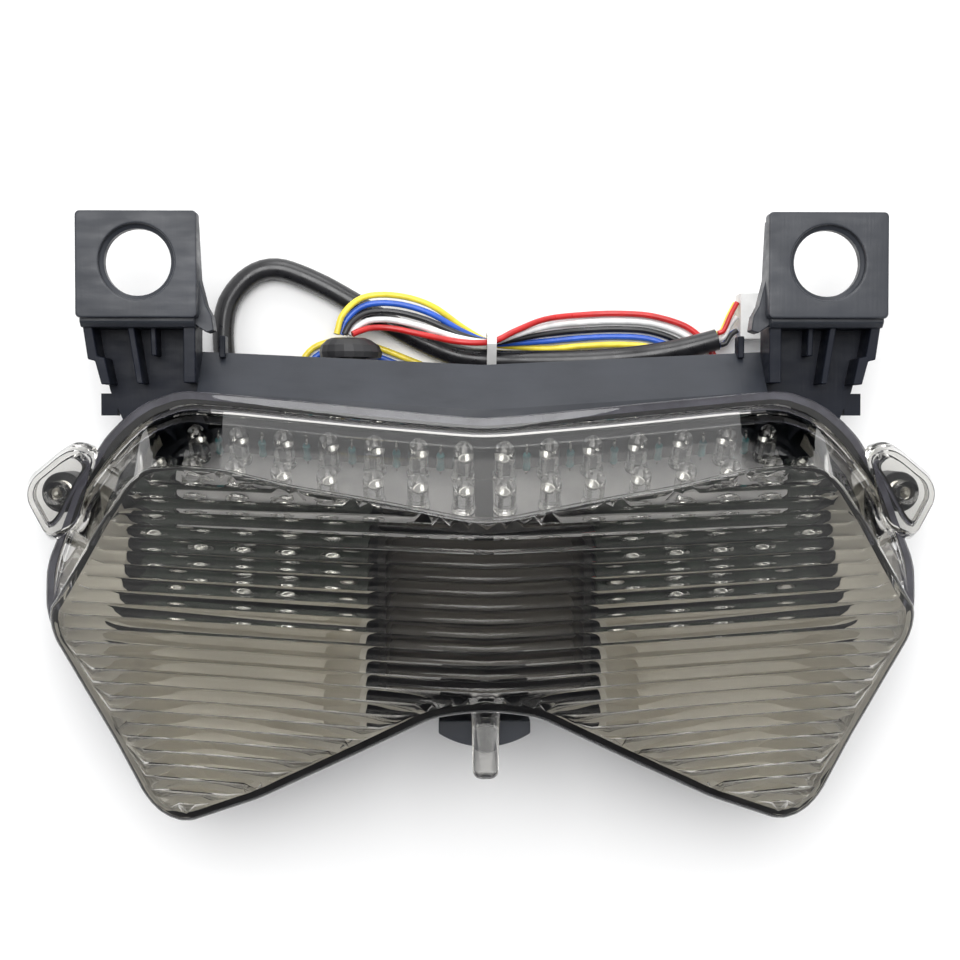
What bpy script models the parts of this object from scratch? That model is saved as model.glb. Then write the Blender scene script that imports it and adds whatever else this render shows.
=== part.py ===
"""Motorcycle LED tail light with a smoked, fluted butterfly lens, lying on its back with the lens up."""

import math

import bmesh
import bpy
from mathutils import Matrix, Vector

# Everything below is in millimetres and turned into metres when an object is made.
MM = 0.001

# ---- driving sizes -------------------------------------------------------
FACE_TOP_Z = 70.5
FACE_SIDE_FALL = 0.25
FACE_TAIL_FALL = 0.165
FLANGE_Z = 39.0
FLANGE_SIDE_FALL = 0.12
FLANGE_TAIL_FALL = 0.10
FLANGE_LIP = 2.2
FOOT_RISE = 6.6
SEAL_GAP = 1.5
LENS_WALL = 2.4
HOUSING_WALL = 2.8
PIN_Z = 55.0
PIN_ROOT_Y = -41.8
PIN_PROFILE = ((0.0, 3.9), (1.9, 3.6), (3.0, 3.25), (15.6, 2.95), (16.7, 2.5), (17.2, 1.6))
TAB_TOP_Z = 37.0
TAB_THICK = 5.0
TAB_HOLE = (82.4, 60.6)
TAB_BORE_R = 8.0
TAB_STEP_R = 9.0
LED_R = 2.5
LED_TILT = math.radians(40.0)
LED_COLUMNS = (4.9, 15.5, 26.0, 37.0, 48.0, 59.0, 69.5)
WIRE_D = 1.6
SLEEVE_D = 5.5
GAP = 0.3
# Moves the middle of the finished outline onto the origin.
SHIFT_Y = 1.15

# Outline stations on the +X half, from the top middle round to the notch:
# face edge, lens foot, flange edge, back edge of the housing.
STATIONS = (
    ((0.0, 1.5), (0.0, 21.0), (0.0, 23.5), (0.0, 14.0)),
    ((5.0, 1.8), (5.0, 21.2), (5.0, 23.8), (5.0, 14.2)),
    ((12.0, 3.1), (12.0, 21.8), (12.0, 24.4), (12.0, 14.8)),
    ((28.0, 6.0), (28.0, 23.2), (28.0, 26.0), (27.5, 16.2)),
    ((44.0, 8.5), (44.0, 24.8), (44.0, 27.6), (43.0, 17.6)),
    ((59.0, 12.0), (59.0, 26.3), (59.0, 29.0), (57.5, 19.0)),
    ((69.0, 12.8), (71.0, 27.2), (72.5, 30.2), (69.0, 20.0)),
    ((77.5, 12.2), (80.0, 24.0), (82.0, 27.0), (77.0, 17.5)),
    ((82.0, 8.8), (87.0, 18.0), (90.0, 20.5), (83.5, 12.0)),
    ((88.8, -0.5), (95.0, 8.0), (98.0, 9.0), (89.0, 3.0)),
    ((93.0, -7.0), (101.0, -3.0), (103.0, -4.0), (92.5, -6.0)),
    ((96.7, -13.0), (104.0, -11.0), (106.5, -12.0), (94.5, -13.0)),
    ((100.2, -18.6), (105.0, -18.0), (107.0, -19.0), (95.5, -18.5)),
    ((102.3, -21.5), (105.0, -22.5), (107.0, -23.5), (95.5, -23.5)),
    ((101.7, -27.5), (103.5, -28.5), (105.4, -29.5), (94.0, -28.5)),
    ((87.2, -52.8), (88.5, -54.2), (90.0, -56.0), (80.0, -51.0)),
    ((80.2, -66.4), (81.0, -68.0), (82.0, -70.0), (74.5, -62.0)),
    ((76.0, -70.5), (76.5, -72.0), (77.0, -73.8), (71.0, -64.5)),
    ((70.3, -72.1), (70.0, -73.5), (70.0, -75.0), (65.5, -65.5)),
    ((52.6, -65.3), (52.0, -66.5), (52.0, -68.0), (50.0, -59.5)),
    ((32.0, -54.8), (32.0, -56.0), (32.0, -57.6), (31.0, -49.5)),
    ((12.0, -44.4), (12.0, -45.4), (12.0, -47.0), (12.0, -39.5)),
    ((5.0, -43.1), (5.0, -44.0), (5.0, -45.5), (5.0, -38.2)),
    ((0.0, -42.9), (0.0, -43.7), (0.0, -45.2), (0.0, -38.0)),
)


def face_z(x, y):
    """Height of the main face: a shallow ridge down the middle, falling to the tips."""
    return FACE_TOP_Z - FACE_SIDE_FALL * (math.sqrt(x * x + 100.0) - 10.0) + FACE_TAIL_FALL * y


def flange_z(x, y):
    """Height of the joint between lens and housing."""
    fall = FLANGE_SIDE_FALL * (math.sqrt(x * x + 100.0) - 10.0)
    return FLANGE_Z - fall - FLANGE_TAIL_FALL * (22.0 - y)


# ---- scene and helpers ---------------------------------------------------
for old in list(bpy.data.objects):
    bpy.data.objects.remove(old, do_unlink=True)

body_collection = bpy.data.collections.new("tail_light")
bpy.context.scene.collection.children.link(body_collection)
cutter_collection = bpy.data.collections.new("cutters")
bpy.context.scene.collection.children.link(cutter_collection)
cutter_collection.hide_render = True


def material(name, color, rough=0.4, metallic=0.0):
    made = bpy.data.materials.new(name)
    made.use_nodes = True
    shader = made.node_tree.nodes["Principled BSDF"]
    shader.inputs["Base Color"].default_value = (color[0], color[1], color[2], 1.0)
    shader.inputs["Roughness"].default_value = rough
    shader.inputs["Metallic"].default_value = metallic
    return made


def signed_volume(bm):
    total = 0.0
    for face in bm.faces:
        first = face.verts[0].co
        for i in range(1, len(face.verts) - 1):
            total += first.dot(face.verts[i].co.cross(face.verts[i + 1].co))
    return total


def face_out(bm):
    """Consistent normals, outwards. A half body is open at x = 0, which adds nothing to the sum."""
    bmesh.ops.recalc_face_normals(bm, faces=bm.faces)
    if signed_volume(bm) < 0.0:
        bmesh.ops.reverse_faces(bm, faces=bm.faces)


def make_object(name, bm, mat=None, helper=False):
    for vert in bm.verts:
        vert.co = (vert.co + Vector((0.0, SHIFT_Y, 0.0))) * MM
    mesh = bpy.data.meshes.new(name)
    bm.to_mesh(mesh)
    bm.free()
    obj = bpy.data.objects.new(name, mesh)
    if helper:
        cutter_collection.objects.link(obj)
        obj.hide_render = True
        obj.display_type = "WIRE"
    else:
        body_collection.objects.link(obj)
        mesh.materials.append(mat)
    return obj


def mirror_x(bm):
    for vert in bm.verts:
        vert.co.x = -vert.co.x
    bmesh.ops.reverse_faces(bm, faces=bm.faces)


def boolean(obj, other, operation):
    modifier = obj.modifiers.new(operation.lower() + "_" + other.name[:40], "BOOLEAN")
    modifier.operation = operation
    modifier.solver = "EXACT"
    modifier.object = other


def mirror_modifier(obj):
    modifier = obj.modifiers.new("mirror", "MIRROR")
    modifier.use_axis[0] = True
    modifier.merge_threshold = 0.00005


def box(bm, low, high):
    centre = [(a + b) / 2.0 for a, b in zip(low, high)]
    size = [b - a for a, b in zip(low, high)]
    place = Matrix.Translation(centre) @ Matrix.Diagonal((size[0], size[1], size[2], 1.0))
    bmesh.ops.create_cube(bm, size=1.0, matrix=place)


def rod(bm, start, end, r1, r2=None, sides=16):
    """A cylinder or cone from start to end."""
    a = Vector(start)
    b = Vector(end)
    turn = (b - a).to_track_quat("Z", "Y").to_matrix().to_4x4()
    place = Matrix.Translation((a + b) / 2.0) @ turn
    bmesh.ops.create_cone(
        bm,
        cap_ends=True,
        segments=sides,
        radius1=r1,
        radius2=r1 if r2 is None else r2,
        depth=(b - a).length,
        matrix=place,
    )


def prism(bm, outline, z0, z1):
    """Upright prism on an outline in x and y."""
    verts = [bm.verts.new((p[0], p[1], z0)) for p in outline]
    base = bm.faces.new(verts)
    grown = bmesh.ops.extrude_face_region(bm, geom=[base])
    moved = [item for item in grown["geom"] if isinstance(item, bmesh.types.BMVert)]
    bmesh.ops.translate(bm, verts=moved, vec=(0.0, 0.0, z1 - z0))


def slab_x(bm, outline, x0, x1):
    """Prism along x on an outline in y and z."""
    verts = [bm.verts.new((x0, p[0], p[1])) for p in outline]
    base = bm.faces.new(verts)
    grown = bmesh.ops.extrude_face_region(bm, geom=[base])
    moved = [item for item in grown["geom"] if isinstance(item, bmesh.types.BMVert)]
    bmesh.ops.translate(bm, verts=moved, vec=(x1 - x0, 0.0, 0.0))


def turned(bm, start, axis, profile, sides=16):
    """Round body along an axis: profile holds (distance, radius) from one capped end to the other."""
    along = Vector(axis).normalized()
    side = along.orthogonal().normalized()
    other = along.cross(side)
    rings = []
    for distance, radius in profile:
        centre = Vector(start) + along * distance
        ring = []
        for i in range(sides):
            angle = 2.0 * math.pi * i / sides
            spot = centre + (side * math.cos(angle) + other * math.sin(angle)) * radius
            ring.append(bm.verts.new(spot))
        rings.append(ring)
    for low, high in zip(rings, rings[1:]):
        for i in range(sides):
            j = (i + 1) % sides
            bm.faces.new((low[i], low[j], high[j], high[i]))
    bm.faces.new(list(reversed(rings[0])))
    bm.faces.new(rings[-1])


def loft_rings(bm, rings, closed_chain=False):
    """Quads between closed outlines; the first and last are capped unless the chain closes."""
    loops = []
    for ring in rings:
        loops.append([bm.verts.new(p) for p in ring])
    pairs = list(zip(loops, loops[1:]))
    if closed_chain:
        pairs.append((loops[-1], loops[0]))
    for low, high in pairs:
        for i in range(len(low)):
            j = (i + 1) % len(low)
            bm.faces.new((low[i], low[j], high[j], high[i]))
    if not closed_chain:
        bm.faces.new(loops[0])
        bm.faces.new(loops[-1])


def inset(chain, amount):
    """The half outline moved inwards. Its ends stay on x = 0."""
    points = [Vector((p[0], p[1])) for p in chain]
    first = Vector((-points[1].x, points[1].y))
    last = Vector((-points[-2].x, points[-2].y))
    whole = [first] + points + [last]
    moved = []
    for i in range(1, len(whole) - 1):
        before = (whole[i] - whole[i - 1]).normalized()
        after = (whole[i + 1] - whole[i]).normalized()
        n1 = Vector((before.y, -before.x))
        n2 = Vector((after.y, -after.x))
        mid = (n1 + n2).normalized()
        step = amount / max(0.5, mid.dot(n1))
        spot = whole[i] + mid * step
        if i == 1 or i == len(whole) - 2:
            spot.x = 0.0
        moved.append((spot.x, spot.y))
    return moved


def half_ring(chain, height):
    return [(x, y, height(x, y)) for x, y in chain]


def half_cap(bm, loop):
    """Closes a half outline: strips across the curved middle, one face over the flatter side."""
    count = len(loop)
    for i in range(2):
        j = count - 1 - i
        bm.faces.new((loop[i], loop[i + 1], loop[j - 1], loop[j]))
    bm.faces.new(loop[2 : count - 2])


def half_loft(rings, capped=True):
    """Half body from open outlines that start and end on x = 0."""
    bm = bmesh.new()
    loops = []
    for ring in rings:
        loops.append([bm.verts.new(p) for p in ring])
    pairs = list(zip(loops, loops[1:]))
    if not capped:
        pairs.append((loops[-1], loops[0]))
    for low, high in pairs:
        for i in range(len(low) - 1):
            bm.faces.new((low[i], low[i + 1], high[i + 1], high[i]))
    if capped:
        half_cap(bm, loops[0])
        half_cap(bm, loops[-1])
    bmesh.ops.triangulate(bm, faces=[f for f in bm.faces if len(f.verts) > 4])
    face_out(bm)
    return bm


FACE = [s[0] for s in STATIONS]
FOOT = [s[1] for s in STATIONS]
FLANGE = [s[2] for s in STATIONS]
BACK = [s[3] for s in STATIONS]


def raised_foot(extra):
    """The foot of the lens where it meets the sloping band, drawn in more where the band is wide."""
    inner = inset(FOOT, 1.0)
    made = []
    for face, foot, step in zip(FACE, FOOT, inner):
        wide = math.hypot(face[0] - foot[0], face[1] - foot[1])
        share = min(1.8, 0.3 * wide)
        made.append(
            (foot[0] + (step[0] - foot[0]) * share, foot[1] + (step[1] - foot[1]) * share)
        )
    return inset(made, extra) if extra else made


def above_flange(rise):
    return lambda x, y: flange_z(x, y) + rise


def below_face(drop):
    return lambda x, y: face_z(x, y) - drop


def flat(z):
    return lambda x, y: z


# ---- lens ----------------------------------------------------------------
smoke = material("smoked_lens", (0.10, 0.10, 0.11), 0.05)
lens_rings = (
    half_ring(inset(FACE, 3.2), below_face(2.6)),
    half_ring(raised_foot(LENS_WALL), above_flange(FOOT_RISE)),
    half_ring(inset(FOOT, 2.2), above_flange(0.0)),
    half_ring(FLANGE, above_flange(0.0)),
    half_ring(FLANGE, above_flange(FLANGE_LIP)),
    half_ring(inset(FOOT, 0.0), above_flange(FLANGE_LIP + 0.2)),
    half_ring(raised_foot(0.0), above_flange(FOOT_RISE)),
    half_ring(FACE, below_face(1.8)),
    half_ring(inset(FACE, 1.3), below_face(0.0)),
)
lens = make_object("lens_cover", half_loft(lens_rings), smoke)
mirror_modifier(lens)

# Ear of the lens: its foot, its top and the pocket inside it.
EAR = (
    (92.5, 16.0),
    (97.5, 18.2),
    (101.5, 16.2),
    (110.4, 9.2),
    (111.4, 4.0),
    (105.2, -7.0),
    (99.0, -3.0),
)
EAR_TOP = (
    (93.0, 14.6),
    (97.6, 16.4),
    (101.0, 15.0),
    (108.6, 8.6),
    (109.6, 4.2),
    (104.6, -5.2),
    (97.5, -2.0),
)
EAR_IN = (
    (94.6, 13.0),
    (97.4, 15.8),
    (100.8, 14.2),
    (108.2, 8.2),
    (109.2, 4.6),
    (104.9, -3.6),
    (102.6, -1.4),
    (97.6, 8.2),
)
EAR_MIDDLE = (102.0, 6.5)
EAR_Z = 25.6
EAR_RISE = 8.6
SCREW = (102.8, 5.4)
EAR_ROOF = 1.8
POCKET_TAPER = 0.86
BOSS_R = 3.1
BOSS_TOP_R = 2.7
SCREW_PILOT_R = 1.7


def toward(points, middle, share):
    """An outline drawn in towards its middle."""
    cx, cy = middle
    return [(cx + (x - cx) * share, cy + (y - cy) * share) for x, y in points]


for side, label in ((-1, "left"), (1, "right")):
    bm = bmesh.new()
    loft_rings(
        bm,
        (
            [(x, y, flange_z(x, y)) for x, y in EAR],
            [(x, y, flange_z(x, y) + FLANGE_LIP) for x, y in EAR],
            [(x, y, EAR_Z + EAR_RISE) for x, y in EAR_TOP],
        ),
    )
    face_out(bm)
    if side < 0:
        mirror_x(bm)
    boolean(lens, make_object("lens_ear_" + label, bm, helper=True), "UNION")
    bm = bmesh.new()
    loft_rings(
        bm,
        (
            [(x, y, EAR_Z - 2.0) for x, y in EAR_IN],
            [(x, y, EAR_Z + 3.4) for x, y in EAR_IN],
            [(x, y, EAR_Z + EAR_RISE - EAR_ROOF) for x, y in toward(EAR_IN, EAR_MIDDLE, POCKET_TAPER)],
        ),
    )
    face_out(bm)
    if side < 0:
        mirror_x(bm)
    boolean(lens, make_object("lens_ear_pocket_" + label, bm, helper=True), "DIFFERENCE")
    bm = bmesh.new()
    turned(
        bm,
        (SCREW[0] * side, SCREW[1], EAR_Z + 0.1),
        (0.0, 0.0, 1.0),
        ((0.0, BOSS_R), (EAR_RISE - 1.0, BOSS_TOP_R)),
    )
    face_out(bm)
    boolean(lens, make_object("lens_screw_boss_" + label, bm, helper=True), "UNION")
    bm = bmesh.new()
    sx, sy = SCREW[0] * side, SCREW[1]
    rod(bm, (sx, sy, EAR_Z - 1.0), (sx, sy, EAR_Z + 6.0), SCREW_PILOT_R)
    boolean(lens, make_object("lens_screw_hole_" + label, bm, helper=True), "DIFFERENCE")

bm = bmesh.new()
turned(
    bm,
    (0.0, PIN_ROOT_Y, PIN_Z),
    (0.0, -1.0, 0.0),
    PIN_PROFILE,
    20,
)
face_out(bm)
boolean(lens, make_object("lens_pin", bm, helper=True), "UNION")

# ---- seal ----------------------------------------------------------------
seal_rings = (
    half_ring(inset(FLANGE, 0.9), above_flange(-1.2)),
    half_ring(inset(FLANGE, 0.9), above_flange(-0.3)),
    half_ring(inset(FLANGE, 2.3), above_flange(-0.3)),
    half_ring(inset(FLANGE, 2.3), above_flange(-1.2)),
)
seal_rubber = material("seal_rubber", (0.01, 0.01, 0.012), 0.6)
seal = make_object("lens_seal", half_loft(seal_rings, capped=False), seal_rubber)
mirror_modifier(seal)

# ---- housing -------------------------------------------------------------
black_abs = material("black_abs", (0.02, 0.021, 0.025), 0.35)
hull_rings = (
    half_ring(inset(BACK, 1.5), flat(0.0)),
    half_ring(BACK, flat(1.5)),
    half_ring(inset(FLANGE, 0.5), above_flange(-5.0)),
    half_ring(inset(FLANGE, 0.3), above_flange(-SEAL_GAP)),
)
housing = make_object("rear_housing", half_loft(hull_rings), black_abs)
mirror_modifier(housing)


def top_edge(x):
    """Front edge, back edge and their heights of the sloping top plate."""
    return (
        25.4 + 4.5 * x / 68.4,
        36.7 + 3.3 * x / 69.5,
        flange_z(x, 24.0) - 2.0,
        22.0 - 2.0 * x / 69.0,
    )


PLATE_T = 3.0
plate_rings = []
for x in (0.0, 6.0, 20.0, 69.2):
    yf, yb, zf, zb = top_edge(x)
    plate_rings.append(
        [
            (x, yf - 4.0, zf),
            (x, yf, zf),
            (x, yb - 0.6, zb + 0.5),
            (x, yb, zb),
            (x, yb, zb - PLATE_T),
            (x, yb - 2.5, zb - PLATE_T),
            (x, yf + 0.5, zf - 4.6),
            (x, yf - 4.0, zf - 4.6),
        ]
    )
bm = bmesh.new()
loops = [[bm.verts.new(p) for p in ring] for ring in plate_rings]
for low, high in zip(loops, loops[1:]):
    for i in range(len(low)):
        j = (i + 1) % len(low)
        bm.faces.new((low[i], low[j], high[j], high[i]))
bm.faces.new(loops[-1])
face_out(bm)
plate = make_object("top_plate", bm, helper=True)
mirror_modifier(plate)
boolean(housing, plate, "UNION")

# Upright prisms of each mounting arm: name, outline in x and y, lower and upper height.
ARM_PRISMS = (
    (
        "tab_plate",
        (
            (69.0, 47.3),
            (96.0, 47.3),
            (96.9, 48.2),
            (96.9, 71.8),
            (96.0, 72.7),
            (69.0, 72.7),
            (68.1, 71.8),
            (68.1, 48.2),
        ),
        TAB_TOP_Z - TAB_THICK,
        TAB_TOP_Z,
    ),
    (
        "neck_web",
        (
            (69.4, 46.0),
            (96.0, 46.0),
            (94.7, 38.0),
            (93.0, 37.4),
            (91.2, 30.0),
            (86.5, 19.0),
            (74.0, 19.0),
            (69.4, 24.0),
        ),
        19.4,
        23.4,
    ),
    (
        "neck_side",
        (
            (96.1, 46.4),
            (93.9, 46.4),
            (92.5, 38.4),
            (90.8, 38.0),
            (89.4, 31.6),
            (91.6, 31.6),
            (93.1, 37.2),
            (94.8, 37.6),
        ),
        20.6,
        32.8,
    ),
    ("neck_inner", ((69.1, 46.3), (72.0, 46.3), (72.0, 32.0), (69.1, 32.0)), 20.4, 32.6),
    ("neck_rib", ((84.0, 46.2), (85.5, 46.2), (83.2, 31.8), (81.7, 31.8)), 20.8, 32.3),
    ("neck_stub", ((79.0, 46.1), (80.3, 46.1), (80.0, 38.6), (78.7, 38.6)), 21.0, 30.4),
    (
        "tab_gusset",
        (
            (68.9, 71.4),
            (68.2, 57.0),
            (66.6, 50.6),
            (65.2, 48.0),
            (64.7, 44.6),
            (66.4, 44.0),
            (70.2, 46.6),
            (70.2, 71.4),
        ),
        26.4,
        32.5,
    ),
    ("plate_post", ((63.2, 38.4), (64.7, 38.4), (64.7, 43.8), (63.2, 43.8)), 17.6, 23.0),
    ("neck_post", ((89.6, 24.2), (93.6, 24.2), (93.6, 29.6), (89.6, 29.6)), 19.8, 23.1),
    ("ear_web", ((88.0, 3.6), (98.8, 3.6), (98.8, 7.2), (88.0, 7.2)), 13.4, 24.4),
)
# Prisms along x: name, outline in y and z, inner and outer end.
ARM_SLABS = (
    ("tab_lip", ((45.2, 20.0), (48.6, 20.0), (48.6, 35.0), (46.4, 35.0), (45.2, 33.6)), 69.0, 96.3),
    ("plate_end", ((22.0, 8.0), (39.6, 13.4), (39.6, 18.6), (31.0, 27.2), (24.0, 28.0)), 66.2, 68.8),
)
EAR_BOSS_R = 5.0
EAR_BOSS_Z = 13.0

for side, label in ((-1, "left"), (1, "right")):
    pieces = []
    for name, outline, z0, z1 in ARM_PRISMS:
        bm = bmesh.new()
        prism(bm, outline, z0, z1)
        pieces.append((name, bm))
    for name, outline, x0, x1 in ARM_SLABS:
        bm = bmesh.new()
        slab_x(bm, outline, x0, x1)
        pieces.append((name, bm))
    # round boss under the ear, the seat of the lens screw
    bm = bmesh.new()
    boss_top = flange_z(SCREW[0], SCREW[1]) - SEAL_GAP
    rod(bm, (SCREW[0], SCREW[1], EAR_BOSS_Z), (SCREW[0], SCREW[1], boss_top), EAR_BOSS_R, sides=20)
    pieces.append(("ear_boss", bm))
    for name, bm in pieces:
        face_out(bm)
        if side < 0:
            mirror_x(bm)
        boolean(housing, make_object(name + "_" + label, bm, helper=True), "UNION")

# round boss in the notch, in front of the flange
bm = bmesh.new()
arc = []
for i in range(9):
    angle = math.radians(-90.0 - 33.0 + 66.0 * i / 8.0)
    arc.append((19.8 * math.cos(angle), -34.0 + 19.8 * math.sin(angle)))
prism(bm, arc + [(10.78, -47.6), (-10.78, -47.6)], 9.0, 45.0)
face_out(bm)
boolean(housing, make_object("notch_boss", bm, helper=True), "UNION")
bm = bmesh.new()
prism(bm, ((-10.2, -38.0), (-10.2, -48.4), (10.2, -48.4), (10.2, -38.0)), 11.0, 28.0)
face_out(bm)
boolean(housing, make_object("notch_boss_root", bm, helper=True), "UNION")

# spout for the wires
SPOUT = (-33.0, 11.6)
bm = bmesh.new()
rod(bm, (SPOUT[0], 14.0, SPOUT[1]), (SPOUT[0], 37.6, SPOUT[1]), 6.9, sides=20)
boolean(housing, make_object("wire_spout", bm, helper=True), "UNION")

cavity_rings = (
    half_ring(inset(BACK, HOUSING_WALL), flat(2.6)),
    half_ring(inset(FLANGE, 3.3), above_flange(-5.0)),
    half_ring(inset(FLANGE, 3.1), above_flange(3.0)),
)
cavity = make_object("housing_cavity", half_loft(cavity_rings), helper=True)
mirror_modifier(cavity)
boolean(housing, cavity, "DIFFERENCE")
bm = bmesh.new()
rod(bm, (SPOUT[0], 10.0, SPOUT[1]), (SPOUT[0], 40.0, SPOUT[1]), 4.6, sides=16)
boolean(housing, make_object("spout_bore", bm, helper=True), "DIFFERENCE")

for side, label in ((-1, "left"), (1, "right")):
    bm = bmesh.new()
    hx, hy = TAB_HOLE[0] * side, TAB_HOLE[1]
    turned(
        bm,
        (hx, hy, TAB_TOP_Z + 1.0),
        (0.0, 0.0, -1.0),
        ((0.0, TAB_STEP_R), (2.6, TAB_STEP_R), (3.1, TAB_BORE_R), (TAB_THICK + 2.0, TAB_BORE_R)),
        32,
    )
    face_out(bm)
    boolean(housing, make_object("tab_hole_" + label, bm, helper=True), "DIFFERENCE")
    bm = bmesh.new()
    sx, sy = SCREW[0] * side, SCREW[1]
    turned(bm, (sx, sy, 8.0), (0.0, 0.0, 1.0), ((0.0, 3.6), (9.0, 3.6), (9.4, 1.9), (20.0, 1.9)), 16)
    face_out(bm)
    boolean(housing, make_object("ear_hole_" + label, bm, helper=True), "DIFFERENCE")

# ---- boards --------------------------------------------------------------
U_AXIS = Vector((0.0, math.sin(LED_TILT), math.cos(LED_TILT)))
V_AXIS = Vector((0.0, -math.cos(LED_TILT), math.sin(LED_TILT)))
BOARD_DROP = 10.4
ROW_STEP = 10.3


def dome_centre(x, row):
    """Centre of the dome of a plate LED: row 0 next to the flange, row 1 next to the face."""
    start = Vector((x, 15.0 + 0.083 * x, 41.0 - 0.18 * x))
    return start + V_AXIS * (ROW_STEP * row)


def board_point(x, along, up):
    """A point of the plate board: along from row 0 towards row 1, up from its lower side."""
    base = Vector((x, 15.0 + 0.083 * x, 41.0 - 0.18 * x)) - U_AXIS * BOARD_DROP
    return base + V_AXIS * along + U_AXIS * up


def signal_z(x):
    return 19.5 - 0.07 * x


BOARD_T = 1.5
BOARD_ENDS = (2.2, 74.0)
POSTS = ((33.0, -18.0), (76.0, -18.0))
SIGNAL_LEDS = (
    (37.0, -8.5),
    (48.0, -8.5),
    (48.0, -18.0),
    (59.0, -8.5),
    (59.0, -18.0),
    (69.5, -8.5),
    (81.0, -3.0),
    (80.6, 13.6),
)
SCREW_CLEAR = 0.8
STRIP_T = 0.6
SIGNAL_OUTLINE = (
    (28.0, -22.0),
    (80.0, -22.0),
    (84.0, -17.0),
    (85.5, -6.0),
    (84.4, 4.0),
    (82.0, 13.0),
    (79.4, 16.8),
    (76.6, 15.4),
    (76.6, 6.0),
    (28.0, 4.0),
)
CARRIER_OUTLINE = (
    (35.6, -20.0),
    (71.0, -20.0),
    (71.0, -10.2),
    (82.4, -10.2),
    (81.4, 14.6),
    (79.0, 14.6),
    (79.0, -4.4),
    (35.6, -4.4),
)
RESISTOR_PROFILE = ((0.0, 0.35), (1.5, 0.95), (4.9, 0.95), (6.4, 0.35))
# Rim of the reflector tray, and the middle it narrows towards.
TRAY_RIM = (
    (28.0, -25.0),
    (50.0, -24.5),
    (72.0, -24.5),
    (86.0, -25.0),
    (93.0, -27.0),
    (95.6, -31.0),
    (84.0, -52.0),
    (77.6, -64.0),
    (74.4, -67.2),
    (70.0, -68.0),
    (53.0, -61.6),
    (34.0, -51.6),
    (28.0, -48.0),
)
TRAY_MIDDLE = (62.0, -42.0)


def signal_slab(outline, low, high):
    """Two outlines that follow the slope of the signal board."""
    return [[(x, y, signal_z(x) + rise) for x, y in outline] for rise in (low, high)]


white_board = material("white_board", (0.55, 0.56, 0.54), 0.5)
green_board = material("green_board", (0.02, 0.10, 0.05), 0.45)
clear_led = material("clear_led", (0.75, 0.77, 0.8), 0.08)
teal = material("resistor_teal", (0.03, 0.25, 0.28), 0.35)
silver = material("reflector_silver", (0.62, 0.61, 0.56), 0.3, 0.8)
steel = material("screw_steel", (0.5, 0.5, 0.5), 0.3, 1.0)
lead_red = material("inner_lead_red", (0.5, 0.02, 0.02), 0.4)

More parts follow.
